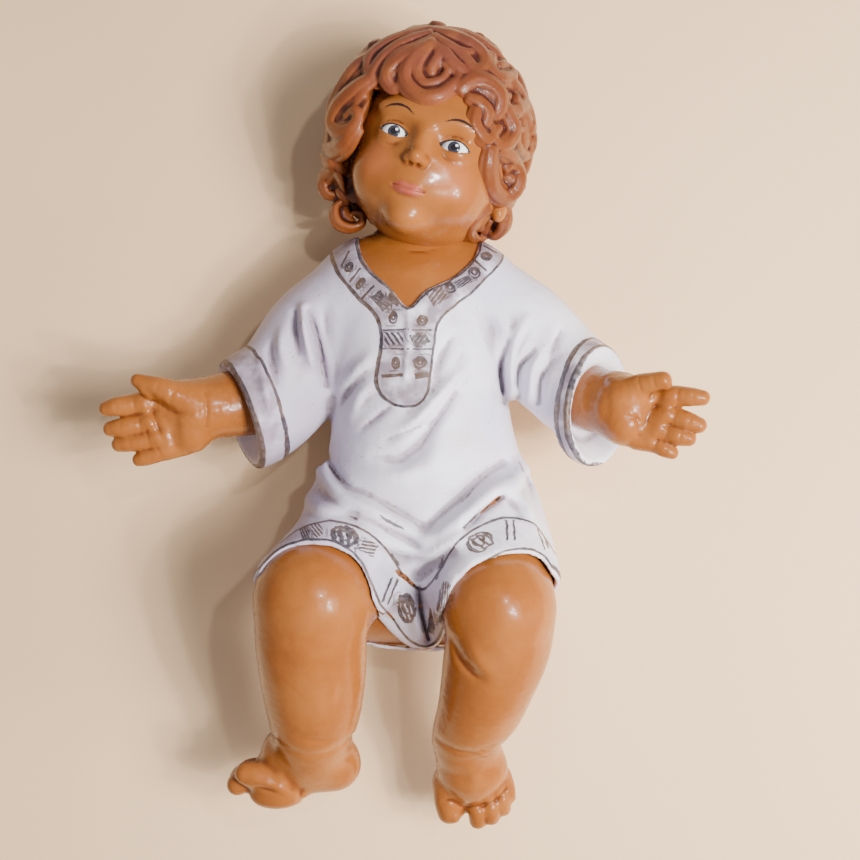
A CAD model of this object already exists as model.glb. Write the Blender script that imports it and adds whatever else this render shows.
"""Looks of the child figure: a hand-painted moulding of a child in a tunic, lying on its back.

The figure is sculpted here as signed distances in millimetres on grids, one grid for each piece,
which become meshes through OpenVDB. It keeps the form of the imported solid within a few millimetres.
"""

import math
import random

import bpy
import numpy as np
import openvdb
from mathutils import Euler, Matrix, Vector


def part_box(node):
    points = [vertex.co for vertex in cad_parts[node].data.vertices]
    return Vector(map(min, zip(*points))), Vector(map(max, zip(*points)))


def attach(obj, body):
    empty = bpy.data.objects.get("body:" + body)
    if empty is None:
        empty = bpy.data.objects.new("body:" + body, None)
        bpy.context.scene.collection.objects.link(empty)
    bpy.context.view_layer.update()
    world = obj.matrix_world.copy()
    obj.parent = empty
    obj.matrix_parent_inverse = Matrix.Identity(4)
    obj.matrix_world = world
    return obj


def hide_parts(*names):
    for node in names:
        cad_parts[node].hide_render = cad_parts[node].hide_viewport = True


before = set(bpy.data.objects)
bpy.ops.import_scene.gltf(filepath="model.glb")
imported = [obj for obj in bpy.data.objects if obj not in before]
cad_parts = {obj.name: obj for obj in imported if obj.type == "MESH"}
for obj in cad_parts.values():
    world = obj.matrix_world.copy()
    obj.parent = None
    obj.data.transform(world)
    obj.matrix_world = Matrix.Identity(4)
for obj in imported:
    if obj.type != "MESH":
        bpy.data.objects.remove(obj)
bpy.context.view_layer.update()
NODE = "child_figure"

# Metres to one unit of the figure, 1 mm at its stored size.
MM = (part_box(NODE)[1][1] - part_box(NODE)[0][1]) / 400.5
SEED = 7
FAR = 20.0  # distance written where a shape is too far away to matter, in mm
LIFT = 1.0  # the carving's z = 0 is this far below the floor that the back was flattened to

# Head: place, turn (degrees about x, y and z) and half sizes of the skull.
HEAD_AT = (9.5, 136, 60)
HEAD_TURN = (-4, -8, -17)
SKULL = (39.5, 47, 43.5)

# Limbs, as stations (x, y, z, radius).
NECK = [(2, 112, 46, 17), (0, 98, 48, 18.5), (-1, 82, 47, 23)]
RIGHT_THIGH = [(-22, -53, 47, 26), (-35, -67, 70, 27), (-48, -79, 93, 27.5)]
RIGHT_SHIN = [
    (-48, -79, 93, 27.5),
    (-49.4, -96, 90, 26.2),
    (-49.4, -112, 84, 25.2),
    (-49.4, -130, 77, 23),
    (-50.4, -143, 71, 20.0),
    (-51, -152, 66, 18.0),
]
RIGHT_FOOT = [(-41, -164, 58, 13.2), (-56, -165, 58, 13.4), (-70, -168, 58, 11.4)]
RIGHT_FOOT_PADS = [((-68.5, -177, 63), (13.6, 7.6, 9)), ((-63, -156, 62), (13, 11, 13))]
RIGHT_TOES = [
    [(-68, -170, 66, 8.0), (-77, -167.6, 68, 6.6), (-83, -166, 68.5, 5.6)],
    [(-76, -171, 60, 6.0), (-85, -171.6, 61.5, 5.8), (-88, -173.2, 61.5, 5.4)],
    [(-77, -169, 54, 5.4), (-86, -170, 54, 5.2), (-88.5, -172, 54, 4.9)],
    [(-76, -168, 48, 5.0), (-84, -169, 47.5, 4.8), (-86.5, -171, 47.5, 4.5)],
    [(-72, -169, 43.5, 4.6), (-79, -170, 42.5, 4.4), (-81.5, -172, 42.5, 4.1)],
]
RIGHT_LEG_LINES = [
    ([(-71, -145, 0.8), (-62, -149, 0.7), (-50, -152, 0.4), (-40, -150.5, 0.8), (-31, -146, 1)], -0.9, 1.6),
    ([(-58, -142, 0.2), (-48, -143.5, 1), (-40, -144, 0.2)], -0.7, 2.0),
    ([(-78, -171.8, 0.7), (-72, -172.4, 1), (-66, -174, 0.5)], -0.8, 1.4),
    ([(-79, -167.5, 0.5), (-70, -170.5, 1), (-60, -177, 0.4)], 0.9, 1.6),
    ([(-56.5, -181, 0.8), (-56.8, -177, 1), (-55, -172, 0.3)], -0.9, 1.5),
    ([(-38, -112, 0.4), (-37.5, -118, 1), (-38.5, -124, 0.4)], 0.6, 1.6),
    ([(-68, -98, 0.3), (-60, -104, 1), (-50, -106, 0.3)], -0.6, 4.0),
]
LEFT_THIGH = [(26, -52, 44, 31), (34, -68, 70, 29.5), (38, -82, 93, 26)]
LEFT_SHIN = [
    (38, -82, 93, 26),
    (38, -98, 87, 25.2),
    (35, -114, 80, 23.2),
    (30.5, -132, 71, 20.4),
    (25, -145, 63, 17.0),
    (24, -151, 59, 15.6),
]
LEFT_FOOT = [(24, -152, 52, 15.4), (25.6, -163, 50, 15.4), (27, -174, 46, 13.0)]
LEFT_FOOT_PADS = [
    ((27, -176, 42), (18.6, 12.5, 9.0)),
    ((27.5, -168, 50), (17, 14, 12.5)),
    ((22, -186, 41), (5, 7, 5)),
]
LEFT_TOES = [
    [(14.6, -178, 44, 7.4), (15, -186, 44, 7.0), (16, -191.6, 43, 6.6)],
    [(28, -183, 45, 5.0), (29.6, -191, 45.5, 4.8), (30.1, -196.4, 43, 4.5)],
    [(35, -182, 45, 4.9), (36.6, -190, 45, 4.6), (37, -194.6, 42.5, 4.4)],
    [(40, -179, 44, 4.8), (42, -186, 44, 4.4), (42.8, -190.6, 41.5, 4.2)],
    [(42.4, -174, 42.5, 4.8), (45, -180.5, 42.5, 4.2), (45.6, -184.6, 41, 4.0)],
]
LEFT_LEG_LINES = [
    ([(9, -149, 0.6), (17, -152.4, 1), (26, -153.4, 1), (39, -150.5, 0.7)], -0.9, 1.6),
    ([(16, -95, 0.4), (20, -104, 1), (25, -110, 1), (30, -114, 0.2)], -1.9, 2.4),
    ([(23, -94, 0.3), (26.5, -103, 1), (33, -110, 0.4)], 1.4, 4.0),
    ([(12, -186, 0.5), (16, -184, 1), (21.4, -187, 0.5)], -1.0, 1.0),
    ([(24, -188, 0.5), (31, -187.4, 1), (39, -185, 1), (45, -179, 0.5)], -1.0, 1.1),
    ([(25, -163, 0.3), (27.4, -170, 1), (26, -178, 0.3)], 0.7, 3.0),
    ([(28, -152, 0.4), (31.5, -156, 1), (36, -155.5, 0.3)], 0.8, 1.1),
]
BIG_TOE_NAIL = ((18.4, -193.4, 46.6), (3.0, 3.4, 3.2))
RIGHT_FOREARM = [
    (-66, 17, 48, 18),
    (-84, 14, 57, 16.8),
    (-98, 11.5, 64, 15.4),
    (-108, 9.5, 68, 13.8),
]
RIGHT_PALM = [((-115, 6, 68), (14, 16, 8.5)), ((-110, -3, 70), (8, 8, 7))]
RIGHT_FINGERS = [
    [
        (-105, 13, 70, 8.4),
        (-116, 16.5, 76, 7.4),
        (-123, 19.6, 78.5, 6.1),
        (-129, 22, 80, 4.2),
        (-132.8, 23.6, 80.5, 3.3),
    ],
    [(-124, 14, 71, 5.8), (-134.7, 12.4, 74.5, 5.3), (-143, 11.2, 77, 4.7), (-148.3, 10.2, 77, 3.8)],
    [(-122, 4.5, 71, 5.6), (-132, 2.7, 74.5, 5.1), (-141, 1.2, 77, 4.6), (-146.4, 0.6, 77, 3.8)],
    [(-119, -3, 71, 5.4), (-128, -4.8, 74, 4.7), (-137, -6.2, 76, 4.3), (-142.6, -6.9, 76, 3.7)],
    [(-114, -8, 70, 5.0), (-123, -10.8, 72.5, 4.3), (-130, -13.2, 74, 4.0), (-133.5, -14.2, 74, 3.4)],
]
# Lines of the palm, in plan: stations with their share of the height, the height and the half width.
RIGHT_PALM_LINES = [
    ([(-131, 16.5, 0.6), (-129, 9.3, 1), (-125.8, 0.9, 1), (-121.7, -8.4, 0.7)], 1.7, 3.6),
    ([(-124, 10, 0.5), (-121.2, 2, 1), (-118.3, -6.9, 0.8)], 1.4, 2.4),
    ([(-126.4, 10, 0.5), (-124.2, 3, 1), (-122, -2, 0.3)], -0.6, 0.9),
    ([(-115.6, 7, 0.4), (-114.6, 1, 1), (-115.4, -6, 0.4)], -0.8, 2.8),
    ([(-128, 18.6, 0.4), (-122, 13, 1), (-115, 8.6, 1), (-108, 8, 0.4)], -1.2, 1.8),
    ([(-101, 18, 0.4), (-100, 10, 1), (-100.5, 2, 0.6)], -0.7, 1.1),
]
LEFT_FOREARM = [(77, 21, 56, 13), (81, 17, 63, 16), (87, 14, 73, 15.6), (94, 11.5, 81, 14.2)]
LEFT_PALM = [
    ((102, 8, 86), (13, 15.5, 10)),
    ((94, 11.5, 83), (10, 14.6, 11.5)),
    ((98, 14, 91), (9.5, 6, 6.4)),
    ((97.5, 2, 89.5), (8, 7, 7)),
]
LEFT_FINGERS = [
    [(95, 16, 90, 7.4), (102, 20.4, 96, 5.4), (108, 22, 100, 4.5), (112.6, 22.8, 102, 4.2)],
    [(110, 14, 91, 5.6), (119.8, 15.6, 95, 5.0), (126.5, 15.2, 98, 4.4), (131.4, 14.8, 99, 3.7)],
    [(109, 7.5, 91, 5.5), (118.4, 6.2, 94, 4.8), (125, 4, 97, 4.5), (130, 2.2, 98, 3.8)],
    [(107, 0.5, 90, 5.4), (115.3, -1.3, 93, 4.7), (121, -3, 96, 4.4), (125.4, -3.9, 97, 3.7)],
    [(103, -4.5, 89, 5.0), (110.4, -6.6, 91, 4.2), (115, -9, 93.5, 3.8), (118.4, -10.6, 94, 3.2)],
]
LEFT_PALM_LINES = [
    ([(116.2, 18, 0.6), (115.7, 10.5, 1), (112.2, 3.4, 1), (107.7, -3.7, 0.7)], 1.4, 3.6),
    ([(112.4, 18, 0.4), (110.4, 11, 1), (107.5, 7, 0.8), (104, 1, 0.3)], -1.1, 1.5),
    ([(97, 6, 0.4), (101.5, 5, 1), (102.6, -2, 0.5)], -0.7, 1.0),
    ([(87, 26, 0.4), (88.4, 14, 1), (87, 3, 0.4)], -0.5, 2.0),
]

# Tunic: rings (y, centre x, centre z, half width, half depth) from the shoulders down to the seat.
TORSO = [
    (98, -1, 47, 22, 12),
    (95, -1, 47, 32, 19),
    (88, -1.5, 46.5, 42, 27),
    (76, -2, 46, 49, 35),
    (58, -2, 45, 48, 40),
    (36, -1.5, 43.5, 46.5, 44),
    (12, 1.2, 43.5, 44.5, 45.5),
    (-12, 3, 44, 48, 46.5),
    (-36, 3, 44, 56, 46.5),
    (-58, 4, 42, 60, 44),
    (-82, 4, 38, 57, 37),
    (-100, 3.5, 32, 48, 29),
    (-109, 3, 27, 37, 20),
]
RIGHT_SKIRT = [(-22, -45, 46, 34), (-33, -61, 70, 30), (-47.5, -79, 92, 30.5)]
LEFT_SKIRT = [(26, -44, 46, 35), (33, -62, 70, 33.5), (38.5, -82, 92, 29.6)]
SKIRT_WEB = [(3, -40, 52, 34), (3, -70, 50, 24), (3.5, -100, 46, 15)]
# Line of the front hem, over one thigh, down between the two and over the other.
HEM = [
    (-72, -70, 94),
    (-66, -59, 102),
    (-57, -52, 106),
    (-43, -51, 108),
    (-34, -54, 108),
    (-27, -60, 106),
    (-22, -73, 100),
    (-20.6, -83, 92),
    (-17.6, -90, 84),
    (-10.7, -99.5, 70),
    (-4, -106, 60),
    (3.5, -109, 55),
    (9.5, -106, 57),
    (12.6, -100, 64),
    (15.4, -90, 72),
    (18.3, -81.5, 81),
    (22, -73, 92),
    (27.5, -65, 100),
    (34, -60, 105),
    (41, -56.5, 107),
    (51, -55.5, 106),
    (58, -59, 102),
    (62, -66, 98),
]
HEM_ENDS = (-110, -72, 92), (110, -74, 92)
TUNIC_STEP = 1.33
FOLD_STRENGTH = 2.4
FOLD_REACH = 14.0  # a fold is pressed into cloth that lies within this height of its line
BAND_RELIEF = 0.45
COLLAR_RIM = 0.9
CUFF_RIM = 1.0
RIGHT_CUFF_BAND = 14.5
LEFT_CUFF_BAND = 7.0
BRUSH_STROKE = 0.7
LINE_HALF_WIDTH = 0.55  # of the painted lines, and what is added to it in four places
CHEST_MORE, SKIRT_MORE, RIGHT_CUFF_MORE, LEFT_CUFF_MORE = 0.35, 0.12, 1.1, 1.3
HEM_SLANT = 0.44 / 0.90  # how far back the hem's cut runs for each unit that it goes down
HEM_HOLLOW = 6
FLAP_AT, FLAP_HALF_WIDTH = 3, 19  # the flap between the thighs is solid cloth, not hollow
SEEN_FROM = (6, 0, 700)  # the lines of the hem were placed as they are seen from here
SKIRT_FROM = -35  # the hem and its band lie on the lower side of this y
BACK_HEM = [
    (-34, -106, 36, 1.0),
    (-20, -108.4, 43, 1.2),
    (-4, -109.6, 46, 1.3),
    (12, -109.4, 46, 1.3),
    (30, -107, 40, 1.0),
]
HEM_RIM = 1.9  # bare cloth beyond the painted band
SIDE_FROM, SIDE_BLEND = 44, 14  # this far from the flap, the band follows the cut, not the view
LOW_FROM, LOW_BLEND, LOW_BESIDE = 62, 14, 32  # so it does below this height, nearer to the flap
WIDE_RIM_AT, WIDE_RIM, WIDE_RIM_REACH = (-18, -102), 4.4, 13  # it is wider on one side of the flap
# Upper line of the band that is painted along the hem.
HEM_BAND = [
    (-68, -56, 96),
    (-63, -50, 98),
    (-55, -44, 97),
    (-43, -42, 97),
    (-33, -43, 96),
    (-24, -47, 93),
    (-17, -53, 88),
    (-11, -62, 81),
    (-6, -70.5, 76),
    (-1, -75.5, 73),
    (4, -76, 73),
    (10, -68, 77),
    (18, -54, 85),
    (27, -46, 92),
    (38, -41, 96),
    (48, -41, 97),
    (57, -44, 97),
    (64, -52, 96),
]
HEM_BAND_ENDS = (-110, -60, 96), (110, -60, 96)

RIGHT_SLEEVE = [
    (-30, 64, 50, 25),
    (-50, 47, 47, 26.5),
    (-65, 25, 46, 27),
    (-80, 11, 54, 28),
    (-96, 4, 61, 27),
]
LEFT_SLEEVE = [
    (30, 64, 50, 25),
    (52, 48.5, 48, 25.5),
    (67, 33, 49, 25),
    (80, 20, 59, 24.5),
    (96, 10, 75, 26),
]
LEFT_TURN_UP = 9.5  # how far back the flared turn-up of the left cuff reaches
RIGHT_CUFF = ((-88, 7, 58), (-0.885, -0.315, 0.342))
LEFT_CUFF = ((88, 9, 68), (0.76, -0.08, 0.64))
CUFF_RADIUS = 27
CUFF_WALL = 3.0
CUFF_DEPTH = 9
CLOTH = 2.6

NECKLINE = [
    (-29, 99),
    (-28, 87),
    (-22, 76),
    (-13, 68),
    (-4.4, 58),
    (4, 66),
    (15, 71.5),
    (24, 79),
    (29, 87),
    (31, 99),
]
NECKLINE_BACK = 20

# Painted collar: its outer line in plan, from the right shoulder round the placket to the left one.
COLLAR = [
    (-44, 92),
    (-42, 85),
    (-38, 75),
    (-30, 65),
    (-22, 57),
    (-18, 50),
    (-17.3, 38),
    (-19.5, 25),
    (-17, 16.5),
    (-11, 12),
    (-5, 11),
    (1, 12.2),
    (5.2, 19),
    (7.4, 37),
    (9, 48),
    (14, 56),
    (24, 64),
    (34, 74),
    (41, 83),
    (44, 92),
]
SLIT = [(-4.4, 59, 0.6), (-4.0, 52, 1), (-4.6, 40, 1), (-5.2, 30, 1), (-6.0, 24, 0.7)]

# Folds of the tunic: a line in plan (x, y, share of the height), the height and the half width.
FOLDS = [
    # waist, down from both hips to the middle
    (
        [(-51, -12, 0.5), (-46, -20, 1), (-37, -29, 1),
         (-20, -37.5, 0.9), (-5, -46, 0.9), (3, -51, 0.5)],
        3.0,
        4.0,
    ),
    (
        [(-45, -14, 0.4), (-39, -22, 1), (-32, -28, 0.8),
         (-22, -31.5, 0.5), (-8, -39, 0.9), (1, -44, 0.6)],
        -2.0,
        2.3,
    ),
    ([(-45, -15, 0.5), (-39.5, -23, 1), (-33, -28, 0.2)], -1.3, 0.9),
    ([(-18, -39, 0.4), (-11, -42.5, 1), (-5, -45.5, 0.2)], -1.0, 0.8),
    ([(51, -20, 0.7), (46, -25, 1), (37, -28, 1), (22, -38, 1), (9, -47.5, 0.9), (3, -51, 0.5)], 3.3, 4.2),
    ([(40, -16, 0.6), (30, -23, 1), (18, -34, 1), (7.5, -43.5, 0.8), (3, -47, 0.4)], -2.4, 3.4),
    ([(39.5, -31.5, 0.6), (36, -34, 1), (29.6, -39, 1), (21.6, -46, 0.2)], -2.6, 1.5),
    ([(45, -29, 0.6), (51, -35, 1), (55, -44, 0.4)], 1.9, 3.4),
    ([(52, -17, 0.4), (54.5, -24, 1), (56, -31, 0.3)], -1.8, 1.6),
    ([(-25, -42, 0.3), (-10, -53, 1), (3, -58, 1), (14, -52, 1), (25, -44, 0.3)], 2.0, 3.4),
    ([(15, -57, 0.5), (8, -63.5, 1), (1, -69, 0.8)], -2.6, 3.6),
    ([(-56, -33, 0.3), (-46, -36, 1), (-34, -37, 0.4)], 1.4, 3.2),
    # the flap between the thighs
    ([(0.7, -76, 0.5), (1.6, -87, 1), (3.2, -95, 1), (5.4, -103, 0.6)], -2.4, 1.7),
    ([(-8, -76, 0.5), (-2, -88, 1), (2, -98, 0.7)], 1.6, 3.6),
    ([(12, -76, 0.5), (10.5, -86, 1), (8.5, -97, 0.6)], 1.4, 2.2),
    # belly and chest
    ([(-18, -13, 0.3), (-8, -13.5, 1), (1, -9, 1), (6, -2, 0.3)], -2.0, 4.2),
    ([(-24, -20, 0.3), (-8, -21, 1), (8, -15, 0.4)], 1.0, 4.5),
    ([(18, 17, 0.3), (9.5, 5, 1), (2, -5, 1), (-7, -12, 0.3)], -2.1, 2.1),
    ([(8, 4.5, 0.3), (-3, 0, 1), (-15, -5, 0.3)], -1.4, 1.5),
    ([(-13, 10.5, 0.4), (-19.5, 6, 1), (-27, 0, 0.3)], -1.3, 1.3),
    ([(16, 43, 0.3), (11.5, 35, 1), (9, 26, 0.3)], -1.6, 2.2),
    ([(24, 31, 0.3), (14, 20, 1), (2, 7, 1), (-9, -3, 0.3)], 1.7, 3.0),
    ([(-21, 22, 0.3), (-28, 16, 1), (-32, 7, 0.3)], 1.5, 3.0),
    ([(-22, 35, 0.3), (-29.5, 27, 1), (-37, 20, 0.3)], 1.7, 3.2),
    ([(-26, 28, 0.3), (-33, 19, 1), (-37, 12, 0.3)], -1.5, 2.2),
    ([(-44, 60, 0.3), (-44.6, 48, 1), (-44, 36, 0.3)], -1.3, 3.0),
    ([(20, 52, 0.2), (26, 40, 1), (30, 26, 0.3)], 1.0, 4.0),
    # right sleeve
    ([(-53, 57, 0.4), (-49.6, 47, 1), (-47, 34, 1), (-45, 22, 0.5)], -3.0, 1.9),
    ([(-55, 59, 0.5), (-54, 48, 1), (-50.5, 32, 0.5)], 2.7, 2.5),
    ([(-59, 57, 0.4), (-59, 48, 1), (-57.5, 38, 0.3)], -2.2, 1.7),
    ([(-65, 50, 0.3), (-66, 40, 1), (-62, 27, 0.4)], 1.5, 3.0),
    ([(-70, 43, 0.3), (-71, 35, 1), (-67, 22, 0.3)], -1.2, 2.0),
    ([(-76, 33, 0.5), (-72, 20, 1), (-70, 9, 0.4)], 1.2, 2.2),
    # left sleeve
    ([(44, 42, 0.4), (41, 29.5, 1), (43, 14, 0.6)], -2.6, 1.9),
    ([(52, 53, 0.4), (45, 37, 1), (46, 18, 0.6)], 2.4, 2.7),
    ([(56, 38, 0.3), (50, 31, 1), (48.5, 22, 0.4)], -2.3, 1.4),
    ([(61, 40, 0.3), (55, 29, 1), (53.5, 15, 0.6)], 2.0, 2.2),
    ([(67, 36, 0.3), (60, 25, 1), (59, 13, 0.5)], -2.0, 1.7),
    ([(70, 49, 0.3), (66, 41, 1), (63, 33, 0.3)], -1.4, 1.5),
    ([(34, 60, 0.3), (41, 49, 1), (40, 38, 0.3)], 1.2, 3.4),
]

# Painted motifs: kind, place in plan, half length and half height, turn in degrees, weight of the strokes.
MOTIFS = [
    ("ring", (-11.4, 53), (2.0, 2.7), -8, 0.9),
    ("ring", (2.2, 51.6), (2.4, 2.4), 0, 0.9),
    ("hatch", (-11.2, 42.7), (4.6, 3.9), 8, 0.8),
    ("hatch", (1.2, 42.7), (3.8, 3.9), -60, 1.5),
    ("ring", (-10.2, 31.6), (1.8, 2.7), 0, 0.9),
    ("ring", (1.2, 31.6), (3.0, 2.9), 0, 1.0),
    ("hatch", (1.8, 25.8), (3.4, 1.6), 10, 1.4),
    ("line", (-11.2, 47.2), (5.6, 0), 92, 0.6),
    ("line", (-11.2, 38.2), (5.6, 0), 88, 0.6),
    ("line", (2.2, 47.0), (4.6, 0), 90, 0.6),
    ("line", (2.2, 38.0), (4.6, 0), 90, 0.6),
    ("line", (-11.8, 25.6), (5.4, 0), 94, 1.2),
    ("hatch", (-17.2, 61.2), (3.0, 4.8), 40, 1.6),
    ("hatch", (-11.0, 61.8), (2.4, 3.4), 60, 1.3),
    ("line", (-23.6, 65.4), (4.6, 0), -45, 0.8),
    ("ring", (-27.2, 69.8), (1.7, 2.8), -35, 0.9),
    ("line", (-30.0, 74.0), (4.6, 0), -38, 0.8),
    ("ring", (-33.0, 78.2), (1.9, 2.4), -25, 0.9),
    ("line", (-35.0, 83.0), (4.6, 0), -24, 0.8),
    ("hatch", (9.6, 63.4), (3.6, 4.4), -58, 1.2),
    ("ring", (15.6, 67.4), (2.6, 2.6), 0, 0.9),
    ("hatch", (21.6, 70.6), (2.0, 4.6), -62, 1.0),
    ("ring", (27.2, 75.4), (2.9, 2.9), 0, 0.9),
    ("line", (30.0, 79.4), (4.6, 0), -132, 0.8),
    ("ring", (33.2, 84.2), (2.4, 2.0), 0, 1.2),
    ("line", (35.4, 88.6), (4.4, 0), -118, 0.8),
    ("hatch", (-52.0, -46.8), (2.2, 4.2), 25, 1.0),
    ("hatch", (-46.4, -45.6), (2.6, 3.6), 30, 0.7),
    ("scroll", (-33.2, -48.6), (6.6, 4.4), -22, 1.2),
    ("hatch", (-22.4, -53.8), (3.0, 4.2), 62, 0.9),
    ("bars", (-12.6, -74.8), (2.4, 6.2), -22, 1.5),
    ("scroll", (-5.4, -85.4), (4.2, 7.9), 4, 1.3),
    ("hatch", (11.6, -80.5), (2.0, 11.0), -11, 1.5),
    ("hatch", (7.0, -92.0), (1.9, 8.0), -6, 2.2),
    ("scroll", (28.6, -51.0), (6.2, 4.4), 22, 0.8),
    ("bars", (43.0, -46.2), (2.9, 4.6), 0, 1.2),
    ("bars", (58.6, -50.4), (1.6, 5.2), 20, 1.1),
]
MOTIF_MARGIN = 1.6  # how far round a motif its own coordinates are kept, in mm

# Brown wear where the paint has gone, as lines in plan.
WEAR = [
    [(38.4, -31.8, 1.3), (35, -34.4, 1.0), (29.6, -38.8, 0.5)],
    [(-9.8, -65.5, 0.8), (-7, -68.6, 1.2), (-4, -71.6, 1.2), (-1.2, -74.4, 0.7)],
    [(-17.5, -84, 0.4), (-14.6, -88, 0.8), (-11, -92.4, 0.5)],
    [(-34, -105.4, 0.9), (-16, -107.4, 0.9), (-4, -108.2, 0.8), (20, -107.6, 0.8)],
]

# Dirt that sits in the creases as thin dark lines, in plan: stations (x, y, how dark).
SOIL = [
    [(-44.4, -16.5, 0.8), (-41, -20.4, 1), (-36, -25.3, 0.8)],
    [(-33, -39, 0.7), (-28, -41.6, 0.9)],
    [(-17.4, -39.6, 0.9), (-11.8, -43.2, 1), (-5.8, -45.9, 0.9)],
    [(-11.8, -57.8, 0.9), (-8.5, -63.2, 0.9)],
    [(33.7, -17.4, 0.7), (25.1, -29.6, 0.8), (18.5, -36.1, 0.7)],
    [(30, -37, 0.9), (21.8, -44.8, 1)],
    [(13.4, -56.2, 0.8), (8.8, -68.6, 1)],
    [(0.7, -76.5, 0.9), (1.6, -87, 1), (3.2, -95, 1), (5.4, -103, 1)],
    [(10.6, -73, 0.8), (9.6, -82, 1)],
    [(-49.7, 53.8, 0.7), (-46.4, 39.7, 0.9), (-44.2, 25.6, 0.8)],
    [(-56, 57, 0.7), (-55, 47, 0.7)],
    [(45.6, 41.9, 0.7), (40.6, 29, 0.8), (41.3, 13.7, 0.7)],
    [(50, 33, 0.6), (49, 22, 0.7)],
    [(-29, 27, 0.6), (-35, 16, 0.6)],
    [(8, 4, 0.6), (-4, -1.4, 0.7)],
    [(49.6, -15.5, 0.8), (51.4, -21, 0.9)],
]
SOIL_REACH = 2.2


# Sculpting


def spline(points, steps=5):
    """Points run through by a smooth curve, with that many steps from each to the next."""
    p = np.array(points, float)
    p = np.vstack([2 * p[0] - p[1], p, 2 * p[-1] - p[-2]])
    t = np.linspace(0, 1, steps, endpoint=False)[:, None]
    spans = []
    for a, b, c, d in zip(p, p[1:], p[2:], p[3:]):
        bend = (c - a) * t + (2 * a - 5 * b + 4 * c - d) * t**2 + (3 * b - a - 3 * c + d) * t**3
        spans.append(b + bend / 2)
    return np.vstack([*spans, p[-2][None]])


def ball(centre, radii):
    """An ellipsoid."""
    c = np.array(centre, float)
    r = np.array(radii if np.ndim(radii) else [radii] * 3, float)

    def distance(x, y, z):
        ax, ay, az = x - c[0], y - c[1], z - c[2]
        near = np.sqrt((ax / r[0]) ** 2 + (ay / r[1]) ** 2 + (az / r[2]) ** 2)
        steep = np.sqrt((ax / r[0] ** 2) ** 2 + (ay / r[1] ** 2) ** 2 + (az / r[2] ** 2) ** 2)
        return near * (near - 1) / np.maximum(steep, 1e-6)

    return c - r, c + r, distance


def window(axis, low, high):
    """The slice of a sorted axis from just below low to just above high."""
    start, end = np.searchsorted(axis, (low, high))
    return slice(max(start - 1, 0), end + 1)


def from_segment(a, b, x, y, z):
    """Share of the way from a to b that is nearest to each place, and its distance squared."""
    px, py, pz = x - a[0], y - a[1], z - a[2]
    way = b[:3] - a[:3]
    share = np.clip((px * way[0] + py * way[1] + pz * way[2]) / max(way @ way, 1e-9), 0, 1)
    gap = (px - share * way[0]) ** 2 + (py - share * way[1]) ** 2 + (pz - share * way[2]) ** 2
    return share, gap


def tube(points, steps=5, margin=5.0):
    """A round limb through stations (x, y, z, radius)."""
    stations = spline(points, steps)
    reach = stations[:, 3:].max()
    low, high = stations[:, :3].min(0) - reach, stations[:, :3].max(0) + reach

    def distance(x, y, z):
        out = np.full(np.broadcast_shapes(x.shape, y.shape, z.shape), FAR, np.float32)
        for a, b in zip(stations, stations[1:]):
            wide = max(a[3], b[3]) + margin
            cut = tuple(
                window(axis.ravel(), min(a[i], b[i]) - wide, max(a[i], b[i]) + wide)
                for i, axis in enumerate((x, y, z))
            )
            share, gap = from_segment(a, b, x[cut[0]], y[:, cut[1]], z[:, :, cut[2]])
            np.minimum(out[cut], np.sqrt(gap) - (a[3] + share * (b[3] - a[3])), out=out[cut])
        return out

    return low, high, distance


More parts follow.
